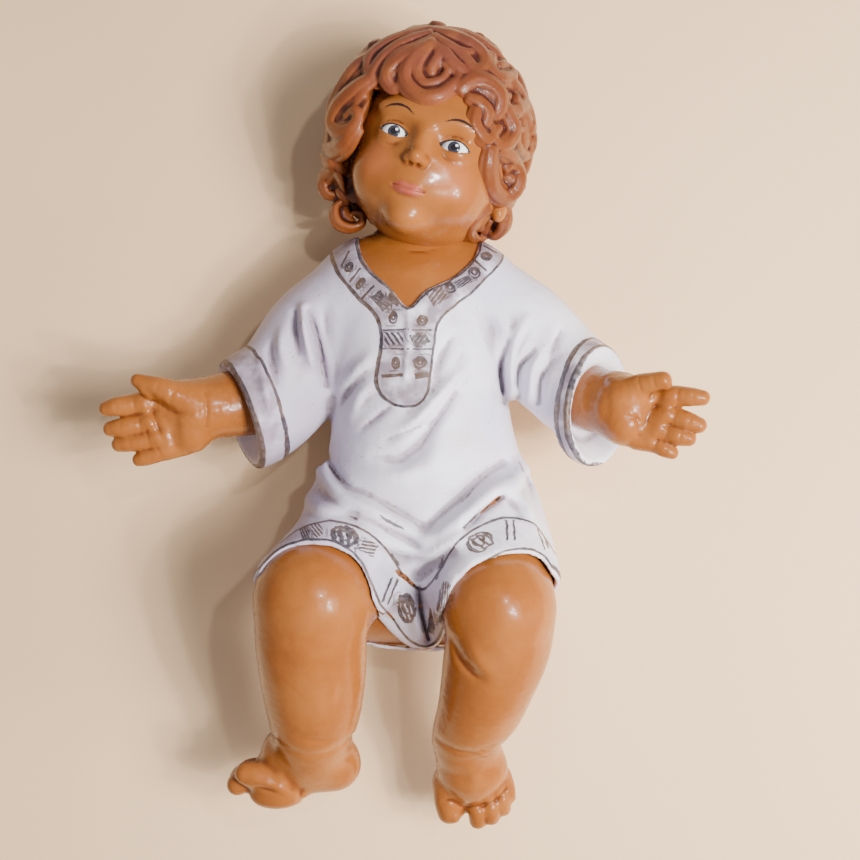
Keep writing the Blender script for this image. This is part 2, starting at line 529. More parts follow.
class Clay:
    """A block of clay on a grid: signed distances, negative inside, that shapes are added to or cut from."""

    def __init__(self, low, high, step):
        self.step = step
        self.low = np.array(low, float)
        counts = np.ceil((np.array(high) - self.low) / step).astype(int) + 1
        self.axes = [self.low[i] + step * np.arange(counts[i]) for i in range(3)]
        self.d = np.full(counts, FAR, np.float32)

    def whole(self):
        x, y, z = self.axes
        return x[:, None, None], y[None, :, None], z[None, None, :]

    def near(self, low, high, margin):
        cut = tuple(window(axis, a - margin, b + margin) for axis, a, b in zip(self.axes, low, high))
        x, y, z = (axis[c] for axis, c in zip(self.axes, cut))
        return cut, (x[:, None, None], y[None, :, None], z[None, None, :])

    def add(self, shape, soft=1.0):
        low, high, distance = shape
        cut, grid = self.near(low, high, soft + 3 * self.step)
        if min(self.d[cut].shape) == 0:
            return
        here, new = self.d[cut], distance(*grid)
        mix = np.clip(0.5 + 0.5 * (here - new) / soft, 0, 1)
        self.d[cut] = here + (new - here) * mix - soft * mix * (1 - mix)

    def cut(self, shape, soft=1.0):
        low, high, distance = shape
        cut, grid = self.near(low, high, soft + 3 * self.step)
        if self.d[cut].size:
            self.keep(-distance(*grid), soft, cut)

    def keep(self, field, soft=1.0, cut=...):
        """Cuts away all that lies where the field is positive, in the whole grid or in a part of it."""
        here = self.d[cut]
        mix = np.clip(0.5 - 0.5 * (here - field) / soft, 0, 1)
        self.d[cut] = here + (field - here) * mix + soft * mix * (1 - mix)

    def swell(self, points, height, width, steps=5):
        """A soft ridge along the points, or a crease where the height is negative. Each point may
        have a share of the height as its fourth number."""
        path = spline([(*p, 1.0)[:4] for p in points], steps)
        reach = 2.6 * width
        cut, (x, y, z) = self.near(path[:, :3].min(0), path[:, :3].max(0), reach)
        if min(self.d[cut].shape) == 0:
            return
        best = np.zeros(self.d[cut].shape, np.float32)
        for a, b in zip(path, path[1:]):
            share, gap = from_segment(a, b, x, y, z)
            lift = (a[3] + share * (b[3] - a[3])) * np.exp(-gap / width**2)
            np.maximum(best, lift, out=best)
        self.d[cut] -= height * best

    def top(self, x, y):
        """Height of the uppermost surface over a place in plan."""
        i, j = (int(round((v - low) / self.step)) for v, low in zip((x, y), self.low))
        column = self.d[i, j]
        inside = np.nonzero(column < 0)[0]
        if len(inside) == 0 or inside[-1] + 1 == len(column):
            return 0.0
        k = inside[-1]
        return self.low[2] + self.step * (k + column[k] / (column[k] - column[k + 1]))

    def fold(self, line, height, width):
        """A ridge, or a crease where the height is negative, pressed into the top of the clay along
        a line in plan: stations (x, y, share of the height)."""
        path = spline(line, 5)
        level = np.array([self.top(x, y) for x, y, _ in path])
        low = (*(path[:, :2].min(0) - 2.6 * width), level.min() - FOLD_REACH)
        high = (*(path[:, :2].max(0) + 2.6 * width), level.max() + FOLD_REACH)
        cut, (x, y, z) = self.near(low, high, 0)
        best = np.zeros((x.size, y.size, 1))
        base = np.full((x.size, y.size, 1), level.mean())
        for a, b, from_level, to_level in zip(path, path[1:], level, level[1:]):
            px, py = x - a[0], y - a[1]
            way = b[:2] - a[:2]
            share = np.clip((px * way[0] + py * way[1]) / max(way @ way, 1e-9), 0, 1)
            gap = (px - share * way[0]) ** 2 + (py - share * way[1]) ** 2
            lift = (a[2] + share * (b[2] - a[2])) * np.exp(-gap / width**2)
            nearer = lift > best
            best[nearer] = lift[nearer]
            base[nearer] = (from_level + share * (to_level - from_level))[nearer]
        reach = np.clip(1.5 - np.abs(z - base) / FOLD_REACH, 0, 1)
        self.d[cut] -= height * best * reach

    def mesh(self, name, place=None, relax=1, uneven=()):
        """The surface of the clay as an object, in metres, placed by a matrix in millimetres."""
        grid = openvdb.FloatGrid(FAR)
        grid.copyFromArray(self.d, tolerance=0.0)
        points, quads = grid.convertToQuads(isovalue=0.0)
        points = points.astype(float) * self.step + self.low
        quads = quads.astype(np.int64)
        for _ in range(relax):
            points = relaxed(points, quads, 0.5)
        for amount, size in uneven:
            points += normals(points, quads) * (amount * unevenness(points, size))[:, None]
        local = points.copy()
        if place is not None:
            m = np.array(place)
            points = points @ m[:3, :3].T + m[:3, 3]
        points[:, 2] += LIFT
        corners = points[quads]
        normal = np.cross(corners[:, 2] - corners[:, 0], corners[:, 3] - corners[:, 1])
        if (normal * corners.mean(1)).sum() < 0:
            quads = quads[:, ::-1]
        obj = mesh_object(name, points * MM, quads)
        return obj, local, points, quads


def relaxed(points, quads, amount):
    """Each point moved towards the mean of its neighbours along the quads."""
    total = np.zeros_like(points)
    count = np.zeros(len(points))
    for i in range(4):
        a, b = quads[:, i], quads[:, (i + 1) % 4]
        for axis in range(3):
            total[:, axis] += np.bincount(a, points[b, axis], len(points))
            total[:, axis] += np.bincount(b, points[a, axis], len(points))
        count += np.bincount(a, minlength=len(points)) + np.bincount(b, minlength=len(points))
    return points + amount * (total / count[:, None] - points)


def mesh_object(name, points, quads):
    mesh = bpy.data.meshes.new(name)
    mesh.vertices.add(len(points))
    mesh.vertices.foreach_set("co", np.ascontiguousarray(points, np.float32).ravel())
    mesh.loops.add(quads.size)
    mesh.loops.foreach_set("vertex_index", np.ascontiguousarray(quads, np.int32).ravel())
    mesh.polygons.add(len(quads))
    mesh.polygons.foreach_set("loop_start", np.arange(0, quads.size, 4, dtype=np.int32))
    mesh.polygons.foreach_set("use_smooth", np.ones(len(quads), bool))
    mesh.update(calc_edges=True)
    mesh.validate()
    obj = bpy.data.objects.new(name, mesh)
    bpy.context.scene.collection.objects.link(obj)
    return obj


def put(obj, name, values):
    """Stores numbers on the points of a mesh, for its material to read."""
    values = np.asarray(values, np.float32)
    kind = "FLOAT" if values.ndim == 1 else "FLOAT_VECTOR"
    field = "value" if values.ndim == 1 else "vector"
    attribute = obj.data.attributes.new(name, kind, "POINT")
    attribute.data.foreach_set(field, values.ravel())


def normals(points, quads):
    """Unit vectors out of the surface at each point."""
    corners = points[quads]
    face = np.cross(corners[:, 2] - corners[:, 0], corners[:, 3] - corners[:, 1])
    face *= np.sign((face * (corners.mean(1) - points.mean(0))).sum())
    normal = np.zeros_like(points)
    for i in range(4):
        for axis in range(3):
            normal[:, axis] += np.bincount(quads[:, i], face[:, axis], len(points))
    return normal / np.maximum(np.linalg.norm(normal, axis=1, keepdims=True), 1e-9)


def unevenness(points, size):
    """Smooth random numbers from -1 to 1 that change over about size."""
    lattice = np.random.default_rng(SEED).uniform(-1, 1, (32, 32, 32))
    spot = points / size
    cell = np.floor(spot).astype(int)
    share = spot - cell
    share = share * share * (3 - 2 * share)
    total = np.zeros(len(points))
    for corner in np.ndindex(2, 2, 2):
        weight = np.ones(len(points))
        for axis in range(3):
            weight *= share[:, axis] if corner[axis] else 1 - share[:, axis]
        total += weight * lattice[tuple((cell[:, axis] + corner[axis]) % 32 for axis in range(3))]
    return total


def hollows(points, quads, rounds, full=0.35):
    """How deep each point lies in a hollow: 1 from the full depth, 0 on flat ground, -1 on a ridge."""
    flat = points
    for _ in range(rounds):
        flat = relaxed(flat, quads, 0.8)
    depth = ((flat - points) * normals(points, quads)).sum(1)
    return np.clip(depth / full, -1, 1)


def finish_piece(made, hollow_rounds=6, full=0.35):
    """Puts a sculpted piece on the frame and stores its hollows."""
    obj, local, points, quads = made
    put(obj, "hollow", hollows(points, quads, hollow_rounds, full))
    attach(obj, "root")
    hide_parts(NODE)
    return obj


def head_matrix():
    turn = Euler([math.radians(a) for a in HEAD_TURN], "XYZ").to_matrix().to_4x4()
    return Matrix.Translation(Vector(HEAD_AT)) @ turn


# Flesh

EYE_AT = (14.6, -6.6, 31.3)
EYE_RADIUS = 8.0
EYE_GLINT = (1.1, 1.2)
LID = 0.9
EYE_HALF_WIDTH = 7.0
EYE_UP, EYE_DOWN = 3.0, 2.1
EYE_LEAN = 0.06
UPPER_LIP = [(0, -29.9, 40.2, 1.0), (3.6, -29.5, 39.8, 1.2), (8.6, -30.3, 37.3, 0.6)]
LOWER_LIP = [(0, -32.2, 39.7, 1.6), (3.6, -32.0, 39.2, 1.45), (7.4, -31.1, 37.8, 0.7)]
MOUTH_LINE = [(0, -30.9, 41.3, 0.7), (4.0, -30.7, 40.8, 0.65), (9.2, -30.3, 37.4, 0.3)]
BROW = [(7.2, 2.4), (11.0, 4.6), (15.5, 5.4), (20.0, 4.2), (23.2, 1.6)]
BROW_HALF_WIDTHS = (0.15, 0.45, 0.6, 0.45, 0.1)
UNDER_EYE = [(8.4, -10.6, 37.6, 0.4), (13.6, -12.6, 38.6, 1), (19.4, -11.8, 37.0, 0.3)]
CHEEK_AT = (19, -21)
EYE_MARGIN = 10  # of the block that an eye is cut from, all round its centre
# Grid steps in mm. The finest are where the detail is.
HEAD_STEP = 0.7
NECK_STEP = 1.2
HAND_STEP = 0.6
LEG_STEP = 1.0
SEAT_STEP = 1.6
# Unevenness of the moulding: pairs of its height and the size that it changes over.
ARM_UNEVEN = ((0.12, 6), (0.10, 2.2))
LEG_UNEVEN = ((0.25, 13), (0.08, 3))
TUNIC_UNEVEN = ((0.22, 11), (0.10, 4.3))


def both_sides(half):
    """A line across the face from the stations of its left half, the first of them in the middle."""
    return [(-x, *rest) for x, *rest in half[:0:-1]] + half


def almond(x, y, side):
    """Distance, seen from the front, from the opening between the lids."""
    ax = x - EYE_AT[0] * side
    ay = y - EYE_AT[1] - EYE_LEAN * side * ax
    upper = (EYE_HALF_WIDTH**2 + EYE_UP**2) / (2 * EYE_UP)
    lower = (EYE_HALF_WIDTH**2 + EYE_DOWN**2) / (2 * EYE_DOWN)
    above = np.sqrt(ax**2 + (ay - EYE_UP + upper) ** 2) - upper
    below = np.sqrt(ax**2 + (ay + EYE_DOWN - lower) ** 2) - lower
    return np.maximum(above, below)


def add_nose(clay):
    clay.add(tube([(0, -4, 39.8, 2.2), (0, -10, 41.2, 2.6), (0, -15.8, 44.0, 3.0)]), 5.5)
    clay.add(ball((0, -16.9, 44.6), (3.4, 3.1, 3.3)), 2)
    for side in (-1, 1):
        clay.add(ball((3.7 * side, -18.0, 42.6), (2.2, 2.1, 2.6)), 1.6)
        clay.cut(ball((1.9 * side, -20.3, 43.2), (1.1, 0.8, 1.7)), 0.8)
    clay.cut(tube([(0, -22.2, 43.9, 0.9), (0, -27.0, 42.6, 1.0)]), 1.6)


def add_mouth(clay):
    clay.add(ball((0, -28.0, 28.8), (15.5, 9, 10.4)), 6)
    for half in (UPPER_LIP, LOWER_LIP):
        clay.add(tube(both_sides(half), 6), 1.1)
    clay.cut(tube(both_sides(MOUTH_LINE), 6), 0.7)
    clay.cut(tube([(-5, -35.8, 39.8, 0.8), (0, -36.1, 40.8, 1.2), (5, -35.8, 39.8, 0.8)]), 3)


def add_lids(clay, side):
    x, y, z = clay.whole()
    eye = (EYE_AT[0] * side, EYE_AT[1], EYE_AT[2])
    clay.add(ball(eye, EYE_RADIUS + LID), 2.2)
    opening = np.maximum(almond(x, y, side), EYE_AT[2] - 6 - z)
    clay.keep(-opening, 0.5)
    crease = []
    for share in np.linspace(-0.9, 0.9, 7):
        cx = eye[0] + share * (EYE_HALF_WIDTH + 0.6)
        cy = eye[1] + (EYE_UP + 1.9) * (1 - share**2) ** 0.5 + EYE_LEAN * side * (cx - eye[0])
        depth = math.sqrt(max((EYE_RADIUS + LID) ** 2 - (cx - eye[0]) ** 2 - (cy - eye[1]) ** 2, 1))
        crease.append((cx, cy, eye[2] + depth, 1 - share**2))
    clay.swell(crease, -0.8, 0.8)
    under = [(x0 * side, y0, z0, share) for x0, y0, z0, share in UNDER_EYE]
    clay.swell(under, -0.5, 1.3)


def add_ear(clay, side):
    clay.add(ball((38.5 * side, -14, -1), (4, 10, 7)), 2)
    clay.add(ball((38.5 * side, -21.5, 1.5), (3.2, 4.2, 4)), 1.5)
    clay.cut(ball((42.5 * side, -12, 1.5), (3.4, 6.0, 4.2)), 1.2)


def line_gap(points, line):
    """Distance of points from a line of stations, with the stations' radii taken off."""
    gap = np.full(len(points), FAR)
    for station in spline(line, 6):
        count = len(station) - 1
        away = np.sqrt(((points[:, :count] - station[:count]) ** 2).sum(1))
        gap = np.minimum(gap, away - station[count])
    return gap


def make_head():
    """The head without its hair: a calm child's face on plain proportions."""
    clay = Clay((-46, -56, -16), (46, 50, 54), HEAD_STEP)
    clay.add(ball((0, 0, 0), SKULL), 1)
    clay.add(ball((0, -22, 9), (31, 26, 30.5)), 7)
    clay.add(ball((0, -41, 27.2), (9.2, 7.4, 9)), 6)
    for side in (-1, 1):
        clay.add(ball((17 * side, -23, 21), 14), 7)
        clay.add(ball((13 * side, 4.6, 35.6), (13, 5, 5.5)), 5)
        clay.cut(ball((13.8 * side, -7, 46), (11.5, 7.2, 9)), 4)
        clay.add(ball((6.0 * side, -10, 34.2), (4.4, 8.5, 4.8)), 5)
    add_nose(clay)
    add_mouth(clay)
    for side in (-1, 1):
        add_lids(clay, side)
        add_ear(clay, side)
    made = clay.mesh("head", head_matrix())
    obj, local = made[:2]
    lips = (line_gap(local, both_sides(half)) for half in (UPPER_LIP, LOWER_LIP))
    put(obj, "mouth", np.minimum(*lips))
    mirrored = np.column_stack([np.abs(local[:, 0]), local[:, 1]])
    put(obj, "brow", line_gap(mirrored, [(x, y, w) for (x, y), w in zip(BROW, BROW_HALF_WIDTHS)]))
    lid = almond(mirrored[:, 0], mirrored[:, 1], 1)
    put(obj, "lid", np.where(mirrored[:, 1] > EYE_AT[1] - 0.6, lid, FAR))
    cheek = np.hypot(mirrored[:, 0] - CHEEK_AT[0], mirrored[:, 1] - CHEEK_AT[1])
    put(obj, "cheek", np.where(local[:, 2] > 0, cheek, FAR))
    return finish_piece(made)


def make_eye(side):
    """A painted eyeball between the lids."""
    name = "eye_left" if side > 0 else "eye_right"
    middle = np.array((EYE_AT[0] * side, EYE_AT[1], EYE_AT[2]))
    clay = Clay(middle - EYE_MARGIN, middle + EYE_MARGIN, HEAD_STEP)
    clay.add(ball(middle, EYE_RADIUS), 0.1)
    made = clay.mesh(name, head_matrix(), relax=0)
    put(made[0], "local", made[1] - middle)
    return finish_piece(made)


def torso_distance(inset=0.0):
    """The oval rings of the body, drawn in by inset, as a shape."""
    rings = spline(TORSO, 8)
    rings = rings[np.argsort(rings[:, 0])]

    def distance(x, y, z):
        ring = [np.interp(y, rings[:, 0], rings[:, i]) for i in range(1, 5)]
        wide, deep = ring[2] - inset, ring[3] - inset
        ax, az = (x - ring[0]) / wide, (z - ring[1]) / deep
        near = np.sqrt(ax**2 + az**2)
        steep = np.sqrt((ax / wide) ** 2 + (az / deep) ** 2)
        side = near * (near - 1) / np.maximum(steep, 1e-6)
        return np.maximum(side, np.maximum(y - 97, -108.5 - y))

    return (-60, -110, -6), (66, 99, 92), distance


def make_neck():
    """Neck and the breast that shows in the neckline."""
    clay = Clay((-36, 40, 14), (40, 122, 92), NECK_STEP)
    clay.add(torso_distance(CLOTH), 1)
    clay.add(tube(NECK), 8)
    clay.swell([(-15, 101, 66, 0.3), (-6, 96, 71, 1), (6, 96, 71, 1), (18, 102, 66, 0.3)], -1.0, 1.1)
    clay.swell([(-16, 92, 66, 0.3), (-5, 86, 72, 1), (8, 87, 72, 1), (19, 94, 66, 0.3)], -0.7, 1.0)
    clay.cut(ball((-2, 74, 84), (4, 4, 3)), 4)
    return finish_piece(clay.mesh("neck"))


def make_hand(forearm, palm, fingers, lines, low, high):
    """Forearm, palm and fingers, then the lines of the palm and the creases over the joints."""
    clay = Clay(low, high, HAND_STEP)
    clay.add(tube(forearm), 1)
    for i, pad in enumerate(palm):
        clay.add(ball(*pad), 10 if i == 0 else 6)
    for i, finger in enumerate(fingers):
        clay.add(tube(finger), 4 if i == 0 else 1.6)
    for line, height, width in lines:
        clay.fold(line, height, width)
    for finger in fingers:
        for joint in (1, 2):
            here = np.array(finger[joint][:3])
            across = np.cross(np.array(finger[joint + 1][:3]) - here, (0, 0, 1))
            across = across / np.linalg.norm(across) * finger[joint][3]
            top = here + (0, 0, finger[joint][3] * 0.96)
            clay.swell([top - across, top + (0, 0, 0.4), top + across], -0.4, 0.7, 3)
    return clay


def make_right_arm():
    clay = make_hand(
        RIGHT_FOREARM, RIGHT_PALM, RIGHT_FINGERS, RIGHT_PALM_LINES, (-156, -24, 42), (-64, 42, 94)
    )
    return finish_piece(clay.mesh("arm_right", uneven=ARM_UNEVEN))


def make_left_arm():
    clay = make_hand(
        LEFT_FOREARM, LEFT_PALM, LEFT_FINGERS, LEFT_PALM_LINES, (60, -24, 36), (140, 40, 114)
    )
    return finish_piece(clay.mesh("arm_left", uneven=ARM_UNEVEN))


def make_leg(limbs, pads, toes, lines, low, high):
    """A bare leg: thigh, shin and foot as limbs, then its pads, toes, creases and ridges."""
    clay = Clay(low, high, LEG_STEP)
    for i, limb in enumerate(limbs):
        clay.add(tube(limb), (1, 3, 8)[i])
    for pad in pads:
        clay.add(ball(*pad), 5)
    for i, toe in enumerate(toes):
        clay.add(tube(toe), 4 if i == 0 else 1.8)
    for line, height, width in lines:
        clay.fold(line, height, width)
    return clay


def make_right_leg():
    limbs = (RIGHT_THIGH, RIGHT_SHIN, RIGHT_FOOT)
    clay = make_leg(
        limbs, RIGHT_FOOT_PADS, RIGHT_TOES, RIGHT_LEG_LINES, (-102, -190, 24), (0, -46, 124)
    )
    return finish_piece(clay.mesh("leg_right", uneven=LEG_UNEVEN))


def make_left_leg():
    limbs = (LEFT_THIGH, LEFT_SHIN, LEFT_FOOT)
    clay = make_leg(
        limbs, LEFT_FOOT_PADS, LEFT_TOES, LEFT_LEG_LINES, (6, -204, 24), (70, -46, 122)
    )
    clay.add(ball(*BIG_TOE_NAIL), 0.4)
    return finish_piece(clay.mesh("leg_left", uneven=LEG_UNEVEN))


def make_seat():
    """The seat, which shows below the hem."""
    clay = Clay((-46, -110, 4), (50, -60, 70), SEAT_STEP)
    clay.add(torso_distance(CLOTH), 1)
    return finish_piece(clay.mesh("seat"))


# Hair

HAIR_CAP_AT = (-7, 8, -6)
HAIR_CAP = (47, 50, 46)
HAIR_STEP = 0.78
HAIR_BACK_STEP = 1.25
CROWN_TILT = 30
CURL_ROWS = [(26, 5, 10), (50, 9, 11), (75, 12, 12), (100, 13, 12), (124, 10, 11)]
CURL_STEPS = 22
CURL_TURNS = 1.1
LOCK_RADIUS = 4.9
LONE_CURLS = [
    ((-0.10, 0.34, 0.92), 11),
    ((0.90, -0.50, -0.12), 12),
    ((-0.70, -0.80, 0.1), 11),
    ((-0.98, -0.4, 0.3), 12),
]
FACE_OPENING = 47
FACE_MIDDLE = Vector((0.02, -0.42, 0.90))
NAPE = 30
IN_SIGHT = 0.30  # procedural curls that face up more than this give way to the locks below

# Locks that show from the front, laid over the head in plan: strands, and stations (x, y, half width).
# Left and right in their names are the viewer's.
LOCKS = {
    "under the wave": (4, [(15, 178, 3.0), (22, 172, 4.0), (27, 165, 4.0), (31, 160, 3.0)]),
    "left sweep, outer": (4, [(-24, 180, 2.6), (-33, 173, 4.2), (-39, 166, 4.6), (-43, 157, 3.8)]),
    "left sweep": (
        5,
        [
            (-20, 178, 3.4), (-29, 172, 5.2), (-35, 164, 5.6),
            (-40, 156, 5.0), (-42, 149, 3.2),
        ],
    ),
    "left temple": (
        5,
        [
            (-21, 165, 3.8), (-29, 160, 5.2), (-36, 155, 5.6), (-40, 148, 5.2), (-38, 142, 4.4),
            (-32, 141, 3.6), (-28, 146, 2.8), (-30, 150, 2.0), (-34, 148, 1.2),
        ],
    ),
    "left side": (5, [(-28, 142, 3.4), (-34, 136, 5.0), (-40, 135, 5.2), (-44, 139, 4.2), (-45, 145, 2.8)]),
    "left side, lower": (4, [(-31, 136, 3.0), (-36, 130, 4.2), (-42, 130, 4.2), (-46, 135, 3.0)]),
    "left low": (
        4,
        [
            (-35, 129, 3.0), (-42, 128, 4.0), (-47, 123, 4.0),
            (-45, 117, 3.6), (-40, 116, 2.8), (-38, 121, 1.6),
        ],
    ),
    "nape left": (
        4,
        [
            (-36, 114, 2.8), (-41, 110, 3.8), (-40, 103, 4.0), (-34, 100, 3.6),
            (-28, 102, 2.8), (-28, 107, 2.0), (-32, 108, 1.2),
        ],
    ),
    "crown left, upper": (
        4,
        [
            (6, 189, 2.4), (-4, 186, 3.8), (-14, 182, 4.2),
            (-21, 177, 3.6), (-23, 171, 2.8), (-22, 165, 1.8),
        ],
    ),
    "crown left, middle": (
        4,
        [
            (6, 186, 2.6), (-4, 182, 3.8), (-12, 177, 4.0),
            (-18, 171, 3.4), (-21, 165, 2.6), (-18, 161, 1.6),
        ],
    ),
    "crown left, lower": (
        4,
        [
            (7, 183, 2.2), (-1, 178, 3.4), (-9, 174, 3.6),
            (-14, 168, 3.0), (-16, 162, 2.0),
        ],
    ),
    "crown right, outer": (
        4,
        [
            (9, 189, 2.4), (20, 187, 4.0), (28, 184, 4.2),
            (35, 180, 3.6), (41, 176, 2.2),
        ],
    ),
    "crown right, lower": (
        4,
        [
            (7, 181, 2.4), (12, 175, 3.8), (17, 169, 3.8),
            (24, 164, 2.8), (27, 162, 1.6),
        ],
    ),
    "crown right, wave": (
        5,
        [
            (7, 188, 2.8), (15, 185, 4.6), (24, 181, 5.0), (30, 176, 4.6),
            (31, 169, 4.2), (26, 165, 3.6), (19, 165, 2.2),
        ],
    ),
    "crown right, curl": (
        4,
        [
            (8, 184, 2.4), (14, 179, 3.4), (20, 176, 2.8),
            (25, 176, 2.2), (26, 179, 1.6), (23, 180, 1.0),
        ],
    ),
    "left lobe": (
        4,
        [
            (4, 179, 2.8), (-4, 174, 3.8), (-11, 169, 3.8), (-14, 164, 3.4),
            (-11, 159, 2.8), (-7, 160, 2.2), (-7, 163, 1.4),
        ],
    ),
    "forelock, middle": (4, [(9, 178, 2.4), (10, 173, 3.2), (7, 168, 2.8), (7, 164, 1.8)]),
    "forelock, outer": (
        5,
        [
            (7, 180, 3.2), (0, 174, 4.2), (-5, 166, 4.2), (-4, 159, 4.0),
            (3, 153, 3.9), (11, 154, 3.5), (17, 159, 2.8), (20, 163, 1.8),
        ],
    ),
    "forelock, inner": (
        4,
        [
            (7, 178, 2.6), (3, 173, 3.3), (0, 166, 3.1), (3, 160, 2.6),
            (8, 160, 2.2), (12, 162, 1.8), (14, 166, 1.2),
        ],
    ),
    "right upper": (
        4,
        [
            (44, 165, 3.6), (49, 160, 3.6), (48, 153, 3.6),
            (43, 150, 3.0), (40, 154, 2.2), (43, 157, 1.4),
        ],
    ),
    "right outer": (
        4,
        [
            (45, 156, 3.8), (52, 149, 4.1), (55, 141, 3.8), (52, 135, 3.1),
            (47, 136, 2.5), (47, 142, 1.9), (50, 144, 1.3),
        ],
    ),
    "ball curl": (
        4,
        [
            (34, 176, 3.2), (33, 170, 3.8), (36, 165, 4.0), (42, 166, 3.6),
            (45, 171, 2.8), (41, 174, 2.1), (38, 172, 1.3),
        ],
    ),
    "temple, under": (4, [(23, 153, 2.4), (28, 151, 3.6), (32, 147, 3.6), (31, 141, 2.5)]),
    "temple": (
        5,
        [
            (19, 156, 3.2), (26, 161, 5.0), (33, 160, 5.4),
            (38, 155, 4.8), (37, 148, 3.6), (33, 146, 1.8),
        ],
    ),
    "right mid, inner": (
        4,
        [
            (27, 147, 2.8), (26, 141, 3.8), (30, 135, 3.6),
            (34, 136, 2.7), (34, 141, 1.6),
        ],
    ),
    "right mid, outer": (
        4,
        [
            (41, 149, 3.2), (45, 142, 3.8), (42, 135, 3.6),
            (37, 133, 2.8), (35, 137, 2.2), (38, 141, 1.6),
        ],
    ),
    "ear curl": (
        5,
        [
            (34, 131, 3.6), (33, 123, 5.0), (35, 115, 5.0), (41, 112, 4.4),
            (47, 115, 3.6), (49, 122, 3.0), (45, 126, 2.2), (41, 123, 1.4),
        ],
    ),
    "over the ear curl": (4, [(37, 131, 3.0), (43, 130, 3.6), (49, 127, 3.2), (51, 121, 2.0)]),
    "nape right": (
        4,
        [
            (38, 111, 3.2), (42, 107, 3.8), (42, 101, 3.8),
            (37, 97, 3.2), (33, 100, 2.4), (35, 103, 1.4),
        ],
    ),
    "nape right, lower": (3, [(33, 106, 2.4), (27, 102, 3.4), (24, 97, 3.2), (27, 95, 2.4), (32, 96, 1.5)]),
}
# Hairline in plan, round the face.
HAIRLINE = [
    (-21, 163),
    (-16, 159.5),
    (-6, 157.5),
    (2, 153),
    (12, 152),
    (20, 155),
    (26, 147),
    (29, 140),
    (32, 131),
    (31, 118),
    (24, 98),
    (4, 86),
    (-24, 92),
    (-34, 112),
    (-37, 128),
    (-30, 138),
    (-25, 148),
    (-22, 156),
]
# Fat cores of the curls that stand off the head: (x, y, z), radius.
CURL_CORES = [
    ((-34, 149, 66), 10.5),
    ((-38, 133, 58), 8),
    ((-41, 122, 50), 6.5),
    ((-35, 107, 46), 8),
    ((-29, 112, 42), 8),
    ((41, 121, 70), 9.5),
    ((39, 108, 56), 8),
    ((36, 102, 48), 6.5),
    ((28, 100, 46), 6),
    ((48, 143, 60), 7.5),
    ((45, 157, 62), 7),
    ((39, 169, 66), 7),
    ((32, 138, 80), 6.5),
    ((38, 140, 72), 7),
    ((32, 154, 86), 8),
]
CROWN_IN_PLAN = (7, 187)
CAP_STRANDS = 46
CAP_GROOVE = 0.55
LOCK_LIFT = 0.35  # how far a lock's middle lies above the head, as a share of its half width
LOCK_CROWN = 0.55  # how much higher its middle is than its edges
LOCK_GROWTH = 1.3  # each lock's strands lie a little higher on the one before where they cross


def spun(axis_angle, round_angle, crown):
    sideways = crown.orthogonal().normalized()
    onward = crown.cross(sideways)
    across = math.cos(round_angle) * sideways + math.sin(round_angle) * onward
    return (math.cos(axis_angle) * crown + math.sin(axis_angle) * across).normalized()


def curl(direction, size, start, hand):
    cap = Vector(HAIR_CAP)
    scale = 1 / math.sqrt(sum((direction[i] / cap[i]) ** 2 for i in range(3)))
    base = direction * scale
    normal = Vector(base[i] / cap[i] ** 2 for i in range(3)).normalized()
    sideways = normal.orthogonal().normalized()
    onward = normal.cross(sideways)
    thick = LOCK_RADIUS * size / 11
    strands = [[], [], []]
    for i in range(CURL_STEPS):
        share = i / (CURL_STEPS - 1)
        angle = start + hand * share * CURL_TURNS * 2 * math.pi
        radius = size * (0.95 - 0.70 * share)
        out = math.cos(angle) * sideways + math.sin(angle) * onward
        place = Vector(HAIR_CAP_AT) + base + radius * out + normal * (3.5 * share - radius**2 / 90)
        half = thick * (1.05 - 0.3 * share)
        for strand, offset in zip(strands, (-0.5, 0, 0.5)):
            spot = place + half * (offset * out + (0.25 if offset == 0 else 0.05) * normal)
            strand.append((*spot, 0.56 * half))
    return strands


def back_locks():
    """Curls all round the head, apart from the face, the nape and the side that shows."""
    chance = random.Random(SEED)
    tilt = math.radians(CROWN_TILT)
    crown = Vector((0, math.cos(tilt), -math.sin(tilt)))
    face = FACE_MIDDLE.normalized()
    neck = Vector((0, -0.97, 0.05)).normalized()
    turned = head_matrix().to_3x3()
    for row, (angle, count, size) in enumerate(CURL_ROWS):
        for i in range(count):
            turn = 2 * math.pi * (i + 0.5 * (row % 2)) / count
            direction = spun(math.radians(angle), turn, crown)
            start = chance.uniform(0, 2 * math.pi)
            grown = size * chance.uniform(0.92, 1.1)
            hand = chance.choice((-1, 1))
            if math.degrees(direction.angle(face)) < FACE_OPENING:
                continue
            if math.degrees(direction.angle(neck)) < NAPE:
                continue
            if (turned @ direction).z < IN_SIGHT:
                yield from curl(direction, grown, start, hand)
    for direction, size in LONE_CURLS:
        start = chance.uniform(0, 2 * math.pi)
        strands = curl(Vector(direction).normalized(), size, start, chance.choice((-1, 1)))
        if (turned @ Vector(direction)).z < IN_SIGHT:
            yield from strands


def make_hair():
    """The curls on the back and the sides of the head."""
    clay = Clay((-66, -58, -62), (52, 70, 52), HAIR_BACK_STEP)
    clay.add(ball(HAIR_CAP_AT, HAIR_CAP), 1)
    for strand in back_locks():
        clay.add(tube(strand, 1), 0.7)
    x, y, z = clay.whole()
    down = np.array(head_matrix())
    across, along, height = (row[0] * x + row[1] * y + row[2] * z + row[3] for row in down[:3])
    clay.keep((-LIFT - height).astype(np.float32), 1.0)
    opening = polygon_distance(across, along, HAIRLINE)
    clay.keep(np.where(height > HEAD_AT[2], -opening, -FAR).astype(np.float32), 3.0)
    return finish_piece(clay.mesh("hair", head_matrix()))


